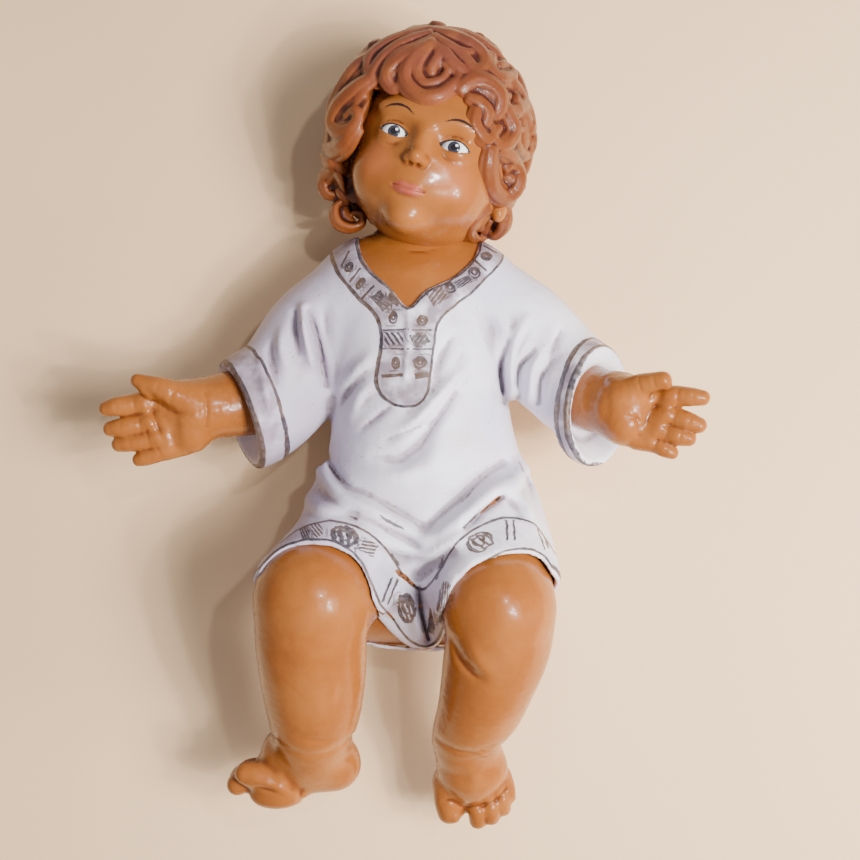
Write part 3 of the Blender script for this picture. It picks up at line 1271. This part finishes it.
def turned_ball(centre, radii, matrix, power=2.0):
    """An ellipsoid given in the head's own frame, as a shape in the figure's. A higher power gives
    it fuller shoulders between its round outline and its top."""
    middle = np.array(matrix @ Vector(centre))
    back = np.array(matrix.to_3x3().transposed())

    def turned(x, y, z):
        ax, ay, az = x - middle[0], y - middle[1], z - middle[2]
        u, v, w = (row[0] * ax + row[1] * ay + row[2] * az for row in back)
        around = np.sqrt((u / radii[0]) ** 2 + (v / radii[1]) ** 2)
        near = (around**power + np.abs(w / radii[2]) ** power) ** (1 / power)
        return (near - 1) * min(radii)

    reach = max(radii)
    return middle - reach, middle + reach, turned


def laid_strands(clay, count, stations, middle, lift):
    """The strands of a lock laid over the head, as tubes."""
    path = spline(stations, 4)
    heights = np.array([max(clay.top(x, y), middle[2]) for x, y, _ in path])
    spots = np.column_stack([path[:, :2], heights])
    spots[:, 2] = np.convolve(np.pad(spots[:, 2], 2, "edge"), np.full(5, 0.2), "valid")
    way = np.gradient(spots, axis=0)
    out = (spots - middle) / np.array(HAIR_CAP) ** 2
    out /= np.linalg.norm(out, axis=1, keepdims=True)
    across = np.cross(way, out)
    across /= np.maximum(np.linalg.norm(across, axis=1, keepdims=True), 1e-6)
    half = path[:, 2:3]
    for share in np.linspace(-1, 1, count):
        side = share * (1 - 0.6 / count) * half
        rise = (LOCK_LIFT - LOCK_CROWN * share**2) * half + lift
        yield np.column_stack([spots + across * side + out * rise, 1.6 * half / count + 0.3])
    yield np.column_stack([spots - out * 0.15 * half, 0.72 * half])


def hair_base(clay, matrix, middle):
    """The mass of hair under the locks, open round the face."""
    clay.add(turned_ball(HAIR_CAP_AT, HAIR_CAP, matrix, 2.7), 1)
    for spot, radius in CURL_CORES:
        clay.add(ball(spot, radius), 4)
    x, y, z = clay.whole()
    opening = polygon_distance(x, y, spline([*HAIRLINE, HAIRLINE[0]], 3)[:, :2])
    clay.keep(np.where(z > middle[2] - 20, -opening, -FAR).astype(np.float32), 3.0)


def make_locks():
    """The locks that show from the front, each of a few strands side by side."""
    high = (62, 196, 122)
    clay = Clay((-54, 88, 16), high, HAIR_STEP)
    matrix = head_matrix()
    middle = np.array(matrix @ Vector(HAIR_CAP_AT))
    rest = Clay(clay.low, high, 1.5)
    hair_base(rest, matrix, middle)
    rest.add(turned_ball((0, 0, 0), SKULL, matrix), 2)
    hair_base(clay, matrix, middle)
    x, y, z = clay.whole()
    angle = np.arctan2(y - CROWN_IN_PLAN[1], x - CROWN_IN_PLAN[0])
    wander = 1.3 * np.sin(x / 6.0 + 0.4 * y / 6.0) + 1.1 * np.sin(y / 4.6)
    clay.d += CAP_GROOVE * np.cos(CAP_STRANDS * angle + wander)
    clay.keep((IN_SIGHT * 30 + middle[2] - 26 - z) + 0 * clay.d, 1.0)
    for number, (count, stations) in enumerate(LOCKS.values()):
        for strand in laid_strands(rest, count, stations, middle, LOCK_GROWTH * number / len(LOCKS)):
            clay.add(tube(strand, 1), 0.7)
    made = clay.mesh("hair_locks", uneven=((0.15, 5),))
    return finish_piece(made, 8)


# Tunic


def line_distance(line, ends, x, y, z):
    """Distance past a line across the skirt, positive on its lower side. The line runs on to both
    ends, and back and down through the figure by the hem's slant."""
    line = np.vstack([ends[0], spline(line, 6), ends[1]])
    across = line[:, 0]
    start = line[:, 1] - line[:, 2] * HEM_SLANT
    edge = np.interp(x, across, start) + z * HEM_SLANT
    slope = np.interp(x, across, np.gradient(start, across))
    return (edge - y) / np.sqrt(1 + np.clip(slope, -4, 4) ** 2 + HEM_SLANT**2)


def seen_from_above(x, y, z):
    """Where a place is seen against the floor."""
    share = SEEN_FROM[2] / (SEEN_FROM[2] - z)
    return SEEN_FROM[0] + (x - SEEN_FROM[0]) * share, SEEN_FROM[1] + (y - SEEN_FROM[1]) * share


def past_line(line, x, y, z):
    """Distance past a line across the skirt as both are seen from above, positive on its lower side."""
    drawn = [seen_from_above(*point) for point in spline(line, 4)]
    ends = [(260, drawn[-1][1]), (260, -400), (-260, -400), (-260, drawn[0][1])]
    return -polygon_distance(*seen_from_above(x, y, z), [*drawn, *ends])


def polygon_distance(x, y, corners):
    """Signed distance in plan from a closed outline, negative inside."""
    x, y = np.broadcast_arrays(x, y)
    best = np.full(x.shape, 1e6)
    inside = np.zeros(x.shape, bool)
    for (ax, ay), (bx, by) in zip(corners, [*corners[1:], corners[0]]):
        wx, wy = bx - ax, by - ay
        share = np.clip(((x - ax) * wx + (y - ay) * wy) / max(wx * wx + wy * wy, 1e-9), 0, 1)
        best = np.minimum(best, (x - ax - share * wx) ** 2 + (y - ay - share * wy) ** 2)
        crosses = (ay > y) != (by > y)
        with np.errstate(divide="ignore", invalid="ignore"):
            inside ^= crosses & (x < (bx - ax) * (y - ay) / (by - ay) + ax)
    return np.where(inside, -1, 1) * np.sqrt(best)


def neck_distance(x, y):
    """Distance in plan from the neckline, negative in the opening."""
    return polygon_distance(x, y, [*spline(NECKLINE, 4), (31, 125), (-29, 125)])


def cuff_distance(cuff, x, y, z):
    """How far past the mouth of a cuff, and how far from its axis."""
    centre, normal = np.array(cuff[0], float), np.array(cuff[1], float)
    normal /= np.linalg.norm(normal)
    px, py, pz = x - centre[0], y - centre[1], z - centre[2]
    along = px * normal[0] + py * normal[1] + pz * normal[2]
    away = np.sqrt(np.maximum(px**2 + py**2 + pz**2 - along**2, 0))
    return along, away


def at_cuff(side, x, y, start):
    """Which points are on a sleeve, out from start."""
    return (side * x > start) & (y > SKIRT_FROM)


def hem_depth(x, y, z):
    """How far inside the painted band of the hem each point lies."""
    u, v = seen_from_above(x, y, z)
    away = ((u - WIDE_RIM_AT[0]) ** 2 + (v - WIDE_RIM_AT[1]) ** 2) / WIDE_RIM_REACH**2
    rim = HEM_RIM + WIDE_RIM * np.exp(-away)
    drawn = np.minimum(-past_line(HEM, x, y, z) - rim, past_line(HEM_BAND, x, y, z))
    hem = line_distance(HEM, HEM_ENDS, x, y, z)
    slanted = np.minimum(-hem - HEM_RIM, line_distance(HEM_BAND, HEM_BAND_ENDS, x, y, z))
    off = np.abs(x - FLAP_AT)
    beside = np.clip((LOW_FROM - z) / LOW_BLEND, 0, 1) * (off > LOW_BESIDE)
    outside = np.clip((off - SIDE_FROM) / SIDE_BLEND, 0, 1)
    return drawn + (slanted - drawn) * np.maximum(outside, beside)


def band_depth(x, y, z):
    """How far inside the painted bands of the collar and the cuffs each point lies."""
    outline = [*spline(COLLAR, 4), (44, 125), (-44, 125)]
    collar = np.minimum(-polygon_distance(x, y, outline), neck_distance(x, y) - COLLAR_RIM)
    depth = np.where(z > NECKLINE_BACK, collar, -FAR)
    for cuff, side, width in ((RIGHT_CUFF, -1, RIGHT_CUFF_BAND), (LEFT_CUFF, 1, LEFT_CUFF_BAND)):
        along, away = cuff_distance(cuff, x, y, z)
        band = np.minimum(along + width, -CUFF_RIM - along)
        outside = at_cuff(side, x, y, 46) & (np.abs(away - CUFF_RADIUS - 4) < 4 + 0.8 * CUFF_WALL)
        depth = np.maximum(depth, np.where(outside, band, -FAR))
    return depth


def brush_width(x, y, z):
    """Half the width of the painted line near each point."""
    width = np.full(len(x), LINE_HALF_WIDTH)
    width += CHEST_MORE * np.clip((-8 - x) / 10, 0, 1) * (y > 0)
    width += SKIRT_MORE * np.clip((y + 40) / -30, 0, 1)
    width += RIGHT_CUFF_MORE * np.clip((8 - y) / 20, 0, 1) * at_cuff(-1, x, y, 50)
    width += LEFT_CUFF_MORE * np.clip((82 - x) / 16, 0, 1) * at_cuff(1, x, y, 50)
    return width


def paint_plan(obj, points, quads):
    """Stores what the cloth's paint follows: bands, brush lines, motifs and wear."""
    x, y, z = points.T
    shown = np.clip((normals(points, quads)[:, 2] - 0.10) / 0.15, 0, 1) * (z > NECKLINE_BACK)
    hem = np.where(y < SKIRT_FROM, hem_depth(x, y, z), -FAR)
    put(obj, "trim", np.maximum(band_depth(x, y, z), hem))
    put(obj, "brush", brush_width(x, y, z))
    best = np.full(len(x), np.inf)
    mark = np.zeros((len(x), 3))
    kinds = np.zeros((len(x), 3))
    divider = np.zeros(len(x))
    for kind, at, size, turn, weight in MOTIFS:
        angle = math.radians(turn)
        u = (x - at[0]) * math.cos(angle) + (y - at[1]) * math.sin(angle)
        v = (y - at[1]) * math.cos(angle) - (x - at[0]) * math.sin(angle)
        half = (1.0, size[0]) if kind == "line" else size
        scale = 1 if kind == "line" else math.sqrt(half[0] * half[1])
        stroke = weight * BRUSH_STROKE / scale
        gap = np.maximum(np.abs(u) - half[0], np.abs(v) - half[1])
        near = (gap < best) & (z > NECKLINE_BACK)
        best[near] = gap[near]
        on = gap < MOTIF_MARGIN
        mark[near] = np.stack([u / half[0], v / half[1], np.full(len(x), stroke)], 1)[near]
        drawn_as = [kind in ("ring", "scroll"), kind in ("hatch", "scroll"), kind == "bars"]
        kinds[near] = np.outer(on, drawn_as)[near]
        divider[near] = (on * (kind == "line"))[near]
    put(obj, "mark", mark)
    put(obj, "kinds", kinds * shown[:, None])
    put(obj, "divider", divider * shown)
    worn = np.zeros(len(x))
    for line in WEAR:
        for px, py, radius in spline(line, 20):
            worn = np.maximum(worn, 1 - np.hypot(x - px, y - py) / (1.6 * radius))
    put(obj, "worn", worn * (z > NECKLINE_BACK))
    soil = np.zeros(len(x))
    for line in SOIL:
        for px, py, share in spline(line, 20):
            soil = np.maximum(soil, share - np.hypot(x - px, y - py) / SOIL_REACH)
    put(obj, "soil", soil * shown)


def cloth_mass():
    """The tunic before its folds and openings."""
    clay = Clay((-104, -112, -4), (108, 102, 124), TUNIC_STEP)
    clay.add(torso_distance(), 1)
    for limb in (RIGHT_SKIRT, LEFT_SKIRT, SKIRT_WEB):
        clay.add(tube(limb), 7)
    for limb in (RIGHT_SLEEVE, LEFT_SLEEVE):
        clay.add(tube(limb), 5)
    return clay


def turn_up(x, y, z):
    """The flared turn-up of the left cuff, as a field."""
    along, away = cuff_distance(LEFT_CUFF, x, y, z)
    disc = np.maximum(away - CUFF_RADIUS - 0.15 * along, -(along + LEFT_TURN_UP))
    return np.where(at_cuff(1, x, y, 46), disc, FAR).astype(np.float32)


def open_cuffs(clay):
    x, y, z = clay.whole()
    for cuff, side in ((RIGHT_CUFF, -1), (LEFT_CUFF, 1)):
        along, away = cuff_distance(cuff, x, y, z)
        clay.keep(np.where(at_cuff(side, x, y, 60), along, -FAR), 1.2)
        mouth = CUFF_RADIUS - CUFF_WALL
        cone = away - mouth * (1 + 0.38 * np.clip(along, -CUFF_DEPTH, 2) / CUFF_DEPTH)
        bore = np.maximum(cone, -(along + CUFF_DEPTH))
        clay.keep(np.where(at_cuff(side, x, y, 50), -bore, -FAR), 1.0)


def open_hem(clay, body):
    """Cuts the skirt at its hem and hollows it a little round the thighs."""
    x, y, z = clay.whole()
    hem = line_distance(HEM, HEM_ENDS, x, y, z)
    clay.keep(hem, 1.5)
    hollow = np.maximum(body + CLOTH, -(hem + HEM_HOLLOW))
    hollow = np.maximum(hollow, FLAP_HALF_WIDTH - np.abs(x - FLAP_AT))
    clay.keep(-hollow, 1.0)
    cut, grid = clay.near((FLAP_AT - 28, -112, 12), (FLAP_AT + 22, -60, 118), 0)
    clay.keep(past_line(HEM, *grid), 1.0, cut)


def make_tunic():
    clay = cloth_mass()
    x, y, z = clay.whole()
    body = clay.d.copy()
    rim = turn_up(x, y, z)
    mix = np.clip(0.5 + 0.5 * (clay.d - rim) / 3, 0, 1)
    clay.d += (rim - clay.d) * mix - 3 * mix * (1 - mix)
    for line, height, width in FOLDS:
        clay.fold(line, FOLD_STRENGTH * height, width)
    clay.d -= BAND_RELIEF * np.clip(0.5 + band_depth(x, y, z), 0, 1)
    skirt = np.searchsorted(clay.axes[1], SKIRT_FROM)
    clay.d[:, :skirt] -= BAND_RELIEF * np.clip(0.5 + hem_depth(x, y[:, :skirt], z), 0, 1)
    open_hem(clay, body)
    open_cuffs(clay)
    clay.fold(SLIT, 1.5, 1.2)
    clay.fold([(px - 1.9, py, share) for px, py, share in SLIT], -0.6, 0.7)
    clay.keep(np.where(z > NECKLINE_BACK, -neck_distance(x, y), -FAR).astype(np.float32), 1.2)
    clay.add(tube(BACK_HEM), 0.5)
    clay.keep((-LIFT - z) + 0 * clay.d, 1.0)
    made = clay.mesh("tunic", uneven=TUNIC_UNEVEN)
    paint_plan(made[0], made[1], made[3])
    return finish_piece(made, 10, 0.5)


# Materials


class Paint:
    """Writes a node material as short expressions."""

    def __init__(self, name):
        self.material = bpy.data.materials.new(name)
        self.material.use_nodes = True
        self.tree = self.material.node_tree
        self.shader = self.tree.nodes["Principled BSDF"]

    def node(self, kind, inputs=(), **settings):
        node = self.tree.nodes.new(kind)
        for key, value in settings.items():
            setattr(node, key, value)
        for key, value in dict(inputs).items():
            self.feed(node.inputs[key], value)
        return node

    def feed(self, socket, value):
        if isinstance(value, bpy.types.NodeSocket):
            self.tree.links.new(value, socket)
        else:
            socket.default_value = value

    def math(self, operation, a, b=0.0, clamp=False):
        node = self.tree.nodes.new("ShaderNodeMath")
        node.operation = operation
        node.use_clamp = clamp
        self.feed(node.inputs[0], a)
        self.feed(node.inputs[1], b)
        return node.outputs[0]

    def times(self, a, b, clamp=False):
        return self.math("MULTIPLY", a, b, clamp)

    def plus(self, a, b):
        return self.math("ADD", a, b)

    def minus(self, a, b):
        return self.math("SUBTRACT", a, b)

    def most(self, a, b):
        return self.math("MAXIMUM", a, b)

    def size(self, a):
        return self.math("ABSOLUTE", a)

    def number(self, name):
        return self.node("ShaderNodeAttribute", attribute_name=name).outputs["Fac"]

    def vector(self, name):
        return self.node("ShaderNodeAttribute", attribute_name=name).outputs["Vector"]

    def place(self):
        return self.node("ShaderNodeTexCoord").outputs["Object"]

    def noise(self, scale, detail=2.0, where=None, roughness=0.5):
        spot = self.place() if where is None else where
        made = self.node(
            "ShaderNodeTexNoise",
            {"Vector": spot, "Scale": scale, "Detail": detail, "Roughness": roughness},
        )
        return made.outputs["Fac"]

    def step(self, value, low, high):
        """0 below low and 1 above high, with a smooth way between."""
        made = self.node(
            "ShaderNodeMapRange",
            {"Value": value, "From Min": low, "From Max": high},
            interpolation_type="SMOOTHSTEP",
        )
        return made.outputs["Result"]

    def mix(self, share, a, b):
        node = self.tree.nodes.new("ShaderNodeMix")
        node.data_type = "RGBA"
        self.feed(node.inputs[0], share)
        self.feed(node.inputs[6], a)
        self.feed(node.inputs[7], b)
        return node.outputs[2]

    def bump(self, height, distance, strength=1.0, after=None):
        inputs = {"Height": height, "Distance": distance, "Strength": strength}
        if after is not None:
            inputs["Normal"] = after
        return self.node("ShaderNodeBump", inputs).outputs["Normal"]

    def finish(self, colour, roughness, normal=None, **fixed):
        self.feed(self.shader.inputs["Base Color"], colour)
        self.feed(self.shader.inputs["Roughness"], roughness)
        if normal is not None:
            self.feed(self.shader.inputs["Normal"], normal)
        for key, value in fixed.items():
            self.shader.inputs[key.replace("_", " ")].default_value = value
        return self.material


FLESH = (0.255, 0.077, 0.013, 1)
FLESH_DEEP = (0.11, 0.024, 0.004, 1)
FLESH_PALE = (0.30, 0.100, 0.020, 1)
LIP = (0.34, 0.066, 0.045, 1)
BLUSH = (0.50, 0.135, 0.050, 1)
BROW_INK = (0.022, 0.012, 0.012, 1)
INK = (0.012, 0.010, 0.012, 1)
HAIR_TIP = (0.20, 0.050, 0.009, 1)
HAIR_ROOT = (0.155, 0.043, 0.028, 1)
HAIR_LIGHT = (0.25, 0.078, 0.018, 1)
HAIR_DEEP = (0.10, 0.024, 0.007, 1)
HAIR_DARK = (0.050, 0.010, 0.006, 1)
CLOTH_WHITE = (0.77, 0.74, 0.83, 1)
CLOTH_COOL = (0.62, 0.60, 0.74, 1)
CLOTH_CREAM = (0.66, 0.56, 0.60, 1)
CLOTH_BAND = (0.24, 0.19, 0.23, 1)
CLOTH_DUSK = (0.36, 0.30, 0.40, 1)
CLOTH_SHADE = (0.24, 0.185, 0.22, 1)
GRIME = (0.13, 0.085, 0.07, 1)
SOIL_INK = (0.045, 0.030, 0.028, 1)
BRUSH_GREY = (0.032, 0.026, 0.032, 1)
BRUSH_BRONZE = (0.105, 0.062, 0.038, 1)
WORN_BROWN = (0.27, 0.095, 0.028, 1)
WORN_BLACK = (0.03, 0.012, 0.008, 1)
EYE_WHITE = (0.80, 0.80, 0.82, 1)
IRIS = (0.030, 0.032, 0.045, 1)
GLINT = (0.85, 0.85, 0.87, 1)
FLOOR_LOW = (0.75, 0.505, 0.29, 1)
FLOOR_HIGH = (0.80, 0.565, 0.34, 1)


def within(p, value, low, high):
    """1 where the value is under low, 0 over high, with a smooth edge."""
    return p.step(value, high, low)


def flesh_paint(name, face=False):
    p = Paint(name)
    hollow = p.number("hollow")
    patches = p.step(p.noise(45, 3), 0.35, 0.7)
    colour = p.mix(patches, FLESH, FLESH_PALE)
    if face:
        colour = p.mix(p.times(within(p, p.number("cheek"), 2, 13), 0.35), colour, BLUSH)
        colour = p.mix(p.times(within(p, p.number("mouth"), -0.2, 0.7), 0.85), colour, LIP)
    colour = p.mix(p.times(p.step(hollow, 0.02, 0.7), 0.85), colour, FLESH_DEEP)
    if face:
        fine = p.times(p.minus(p.noise(500, 2), 0.5), 0.3)
        brow = within(p, p.plus(p.number("brow"), fine), -0.05, 0.25)
        lash = within(p, p.size(p.minus(p.number("lid"), 0.05)), 0.42, 0.62)
        colour = p.mix(p.most(brow, lash), colour, BROW_INK)
    rough = p.plus(p.times(p.noise(160, 2), 0.14), 0.20)
    normal = p.bump(p.noise(90, 3), 0.0006, 0.35)
    return p.finish(
        colour, rough, normal, Specular_IOR_Level=0.4, Coat_Weight=0.2, Coat_Roughness=0.08
    )


def hair_paint():
    p = Paint("auburn_paint")
    hollow = p.number("hollow")
    split = p.node("ShaderNodeSeparateXYZ", {"Vector": p.place()})
    across, height = split.outputs[0], split.outputs[1]
    root = p.step(p.plus(height, p.times(p.noise(30, 2), 0.06)), 0.165, 0.225)
    colour = p.mix(root, HAIR_TIP, HAIR_ROOT)
    colour = p.mix(p.times(p.step(p.noise(70, 3), 0.45, 0.7), 0.5), colour, HAIR_LIGHT)
    colour = p.mix(p.times(p.step(across, 0.005, 0.04), 0.55), colour, HAIR_DEEP)
    colour = p.mix(p.step(hollow, 0.0, 0.75), colour, HAIR_DARK)
    rough = p.plus(p.times(p.noise(200, 2), 0.2), 0.32)
    return p.finish(colour, rough, p.bump(p.noise(260, 3), 0.0005, 0.4), Coat_Weight=0.3, Coat_Roughness=0.15)


def painted_marks(p):
    """Rings, hatched boxes, bars and dividing lines, drawn in the motifs' own coordinates."""
    jitter = p.times(p.minus(p.noise(260, 2), 0.5), 0.55)
    split = p.node("ShaderNodeSeparateXYZ", {"Vector": p.vector("mark")})
    u = p.plus(split.outputs[0], jitter)
    v = p.minus(split.outputs[1], jitter)
    width = p.times(split.outputs[2], p.plus(p.noise(500, 1), 0.45))
    kind = p.node("ShaderNodeSeparateXYZ", {"Vector": p.vector("kinds")})
    ring_on, hatch_on, bars_on = kind.outputs
    away = p.math("SQRT", p.plus(p.times(u, u), p.times(v, v)))
    size_u, size_v = p.size(u), p.size(v)

    def stroke(distance):
        edge = p.math("DIVIDE", p.size(distance), width)
        return within(p, edge, 0.75, 1.25)

    outer = stroke(p.minus(away, 0.9))
    curl_in = stroke(p.minus(away, p.plus(0.42, p.times(v, 0.3))))
    ring = p.times(ring_on, p.most(outer, curl_in))
    wave = p.math("FRACT", p.times(p.plus(u, p.times(v, 0.45)), 1.9))
    stripes = stroke(p.times(p.minus(wave, 0.5), 0.5))
    box = within(p, p.most(size_u, size_v), 0.9, 1.05)
    oval = within(p, away, 0.75, 0.9)
    zone = p.plus(p.times(oval, ring_on), p.times(box, p.minus(1.0, ring_on)))
    hatch = p.times(hatch_on, p.times(stripes, zone))
    short = within(p, size_v, 0.9, 1.05)
    bars = p.times(p.times(stroke(p.minus(size_u, 0.6)), short), bars_on)
    line = p.times(p.times(stroke(u), short), p.number("divider"))
    marks = p.most(p.most(ring, hatch), p.most(bars, line))
    return p.times(marks, p.step(p.number("trim"), -0.6, 0.2))


def cloth_paint():
    p = Paint("worn_white_paint")
    hollow, trim = p.number("hollow"), p.number("trim")
    wobble = p.times(p.minus(p.noise(130, 3), 0.5), 1.5)
    edge = p.size(p.plus(trim, wobble))
    weight = p.times(p.number("brush"), p.plus(p.noise(90, 2), 0.55))
    outline = within(p, p.minus(edge, weight), -0.15, 0.2)
    drawn = p.most(outline, painted_marks(p))
    drawn = p.times(drawn, p.plus(0.62, p.times(p.noise(420, 2), 0.5)), True)

    colour = p.mix(p.step(p.noise(16, 3), 0.38, 0.64), CLOTH_WHITE, CLOTH_COOL)
    colour = p.mix(p.step(p.noise(28, 4), 0.52, 0.78), colour, CLOTH_CREAM)
    split = p.node("ShaderNodeSeparateXYZ", {"Vector": p.place()})
    across, height = split.outputs[0], split.outputs[1]
    patchy = p.plus(across, p.times(p.noise(22, 4), 0.07))
    colour = p.mix(p.times(p.step(patchy, 0.050, -0.03), 0.68), colour, CLOTH_DUSK)
    colour = p.mix(p.times(p.step(p.noise(52, 5), 0.50, 0.72), 0.30), colour, CLOTH_DUSK)
    ground = p.times(p.step(trim, -0.4, 0.5), p.step(p.noise(110, 3), 0.22, 0.60))
    ground = p.times(ground, p.plus(0.25, p.times(p.step(height, -0.02, 0), 0.7)))
    colour = p.mix(ground, colour, CLOTH_BAND)
    colour = p.mix(p.times(p.step(hollow, 0.05, 1.1), 0.7), colour, CLOTH_SHADE)
    specks = p.times(p.step(p.noise(900, 2), 0.64, 0.70), p.step(p.noise(70, 2), 0.52, 0.66))
    dirt = p.times(p.step(p.noise(330, 4), 0.55, 0.7), p.step(hollow, 0.15, 0.7))
    grime = p.most(p.times(specks, 0.75), p.times(dirt, 0.45))
    colour = p.mix(grime, colour, GRIME)
    soil = p.plus(p.number("soil"), p.times(p.noise(300, 2), 0.5))
    colour = p.mix(p.times(p.step(soil, 0.80, 1.0), 0.85), colour, SOIL_INK)
    ink = p.mix(p.step(p.noise(60, 2), 0.42, 0.6), BRUSH_GREY, BRUSH_BRONZE)
    colour = p.mix(drawn, colour, ink)
    worn = p.step(p.plus(p.number("worn"), p.times(p.noise(240, 3), 0.8)), 0.75, 0.95)
    rust = p.mix(p.step(p.noise(520, 2), 0.45, 0.6), WORN_BROWN, WORN_BLACK)
    colour = p.mix(worn, colour, rust)
    rough = p.plus(p.times(p.noise(120, 2), 0.22), 0.36)
    relief = p.minus(p.times(p.noise(420, 3), 0.5), p.times(drawn, 0.5))
    normal = p.bump(relief, 0.0005, 0.55)
    p.feed(p.shader.inputs["Metallic"], p.times(drawn, 0.35))
    return p.finish(colour, rough, normal, Coat_Weight=0.08, Coat_Roughness=0.3)


def eye_paint():
    p = Paint("painted_eye")
    spot = p.vector("local")
    split = p.node("ShaderNodeSeparateXYZ", {"Vector": spot})
    x, y = split.outputs[0], split.outputs[1]
    away = p.math("SQRT", p.plus(p.times(x, x), p.times(y, y)))
    colour = p.mix(p.step(away, 3.05, 2.85), EYE_WHITE, IRIS)
    colour = p.mix(p.step(away, 1.6, 1.45), colour, INK)
    dx, dy = p.minus(x, EYE_GLINT[0]), p.minus(y, EYE_GLINT[1])
    glint = p.math("SQRT", p.plus(p.times(dx, dx), p.times(dy, dy)))
    colour = p.mix(p.step(glint, 0.75, 0.5), colour, GLINT)
    return p.finish(colour, 0.12, None, Coat_Weight=0.5, Coat_Roughness=0.05)


# Stage


FLOOR_SIZE = 4
FLOOR_DROP = 0.0002  # the floor lies this far under the figure, in metres
CAMERA_AT = (0.006, 0, 0.700)
CAMERA_LENS, CAMERA_SENSOR = 54.56, 36  # in mm
WORLD_COLOUR, WORLD_STRENGTH = (0.93, 0.93, 1.0, 1), 0.25
# Lamps without a reflection: name, place, size, power and colour.
SOFT_LAMPS = [
    ("key", (0.58, -0.09, 0.98), 0.44, 25, (1, 0.96, 0.92)),
    ("side", (0.92, -0.34, 0.40), 0.4, 11, (1, 0.97, 0.93)),
    ("fill", (-0.5, -0.5, 1.3), 1.2, 3.0, (0.90, 0.90, 1)),
]
# Small lamps that show as bright spots in the gloss.
SPARKS = [(0.42, -0.05, 0.80), (0.36, -0.16, 0.84), (0.46, -0.20, 0.78), (0.24, 0.22, 0.95)]
SPARK_SIZE, SPARK_POWER, SPARK_COLOUR = 0.03, 1.8, (1, 0.98, 0.96)


def make_floor():
    bpy.ops.mesh.primitive_plane_add(size=FLOOR_SIZE, location=(0, 0, -FLOOR_DROP))
    floor = bpy.context.object
    floor.name = "floor"
    p = Paint("pale_floor")
    tone = p.mix(p.noise(3, 3), FLOOR_LOW, FLOOR_HIGH)
    floor.data.materials.append(p.finish(tone, 0.6))


def make_camera():
    camera = bpy.data.cameras.new("camera")
    eye = bpy.data.objects.new("camera", camera)
    bpy.context.scene.collection.objects.link(eye)
    eye.location = CAMERA_AT
    camera.lens = CAMERA_LENS
    camera.sensor_width = CAMERA_SENSOR
    camera.clip_start = 0.01
    bpy.context.scene.camera = eye


def make_lamp(name, at, size, power, colour, gloss):
    light = bpy.data.lights.new(name, "AREA")
    light.size = size
    light.energy = power
    light.color = colour
    obj = bpy.data.objects.new(name, light)
    obj.location = at
    obj.rotation_euler = (-Vector(at)).to_track_quat("-Z", "Y").to_euler()
    obj.visible_glossy = gloss
    bpy.context.scene.collection.objects.link(obj)


def make_stage():
    make_floor()
    make_camera()
    for name, at, size, power, colour in SOFT_LAMPS:
        make_lamp(name, at, size, power, colour, gloss=False)
    for at in SPARKS:
        make_lamp("spark", at, SPARK_SIZE, SPARK_POWER, SPARK_COLOUR, gloss=True)
    world = bpy.data.worlds.new("world")
    world.use_nodes = True
    background = world.node_tree.nodes["Background"]
    background.inputs[0].default_value = WORLD_COLOUR
    background.inputs[1].default_value = WORLD_STRENGTH
    bpy.context.scene.world = world


def build():
    skin = flesh_paint("painted_flesh")
    face = flesh_paint("painted_face", face=True)
    white = cloth_paint()
    make_head().data.materials.append(face)
    eyes = eye_paint()
    for side in (-1, 1):
        make_eye(side).data.materials.append(eyes)
    for part in (make_neck, make_right_arm, make_left_arm, make_right_leg, make_left_leg, make_seat):
        part().data.materials.append(skin)
    auburn = hair_paint()
    make_hair().data.materials.append(auburn)
    make_locks().data.materials.append(auburn)
    make_tunic().data.materials.append(white)
    make_stage()


build()
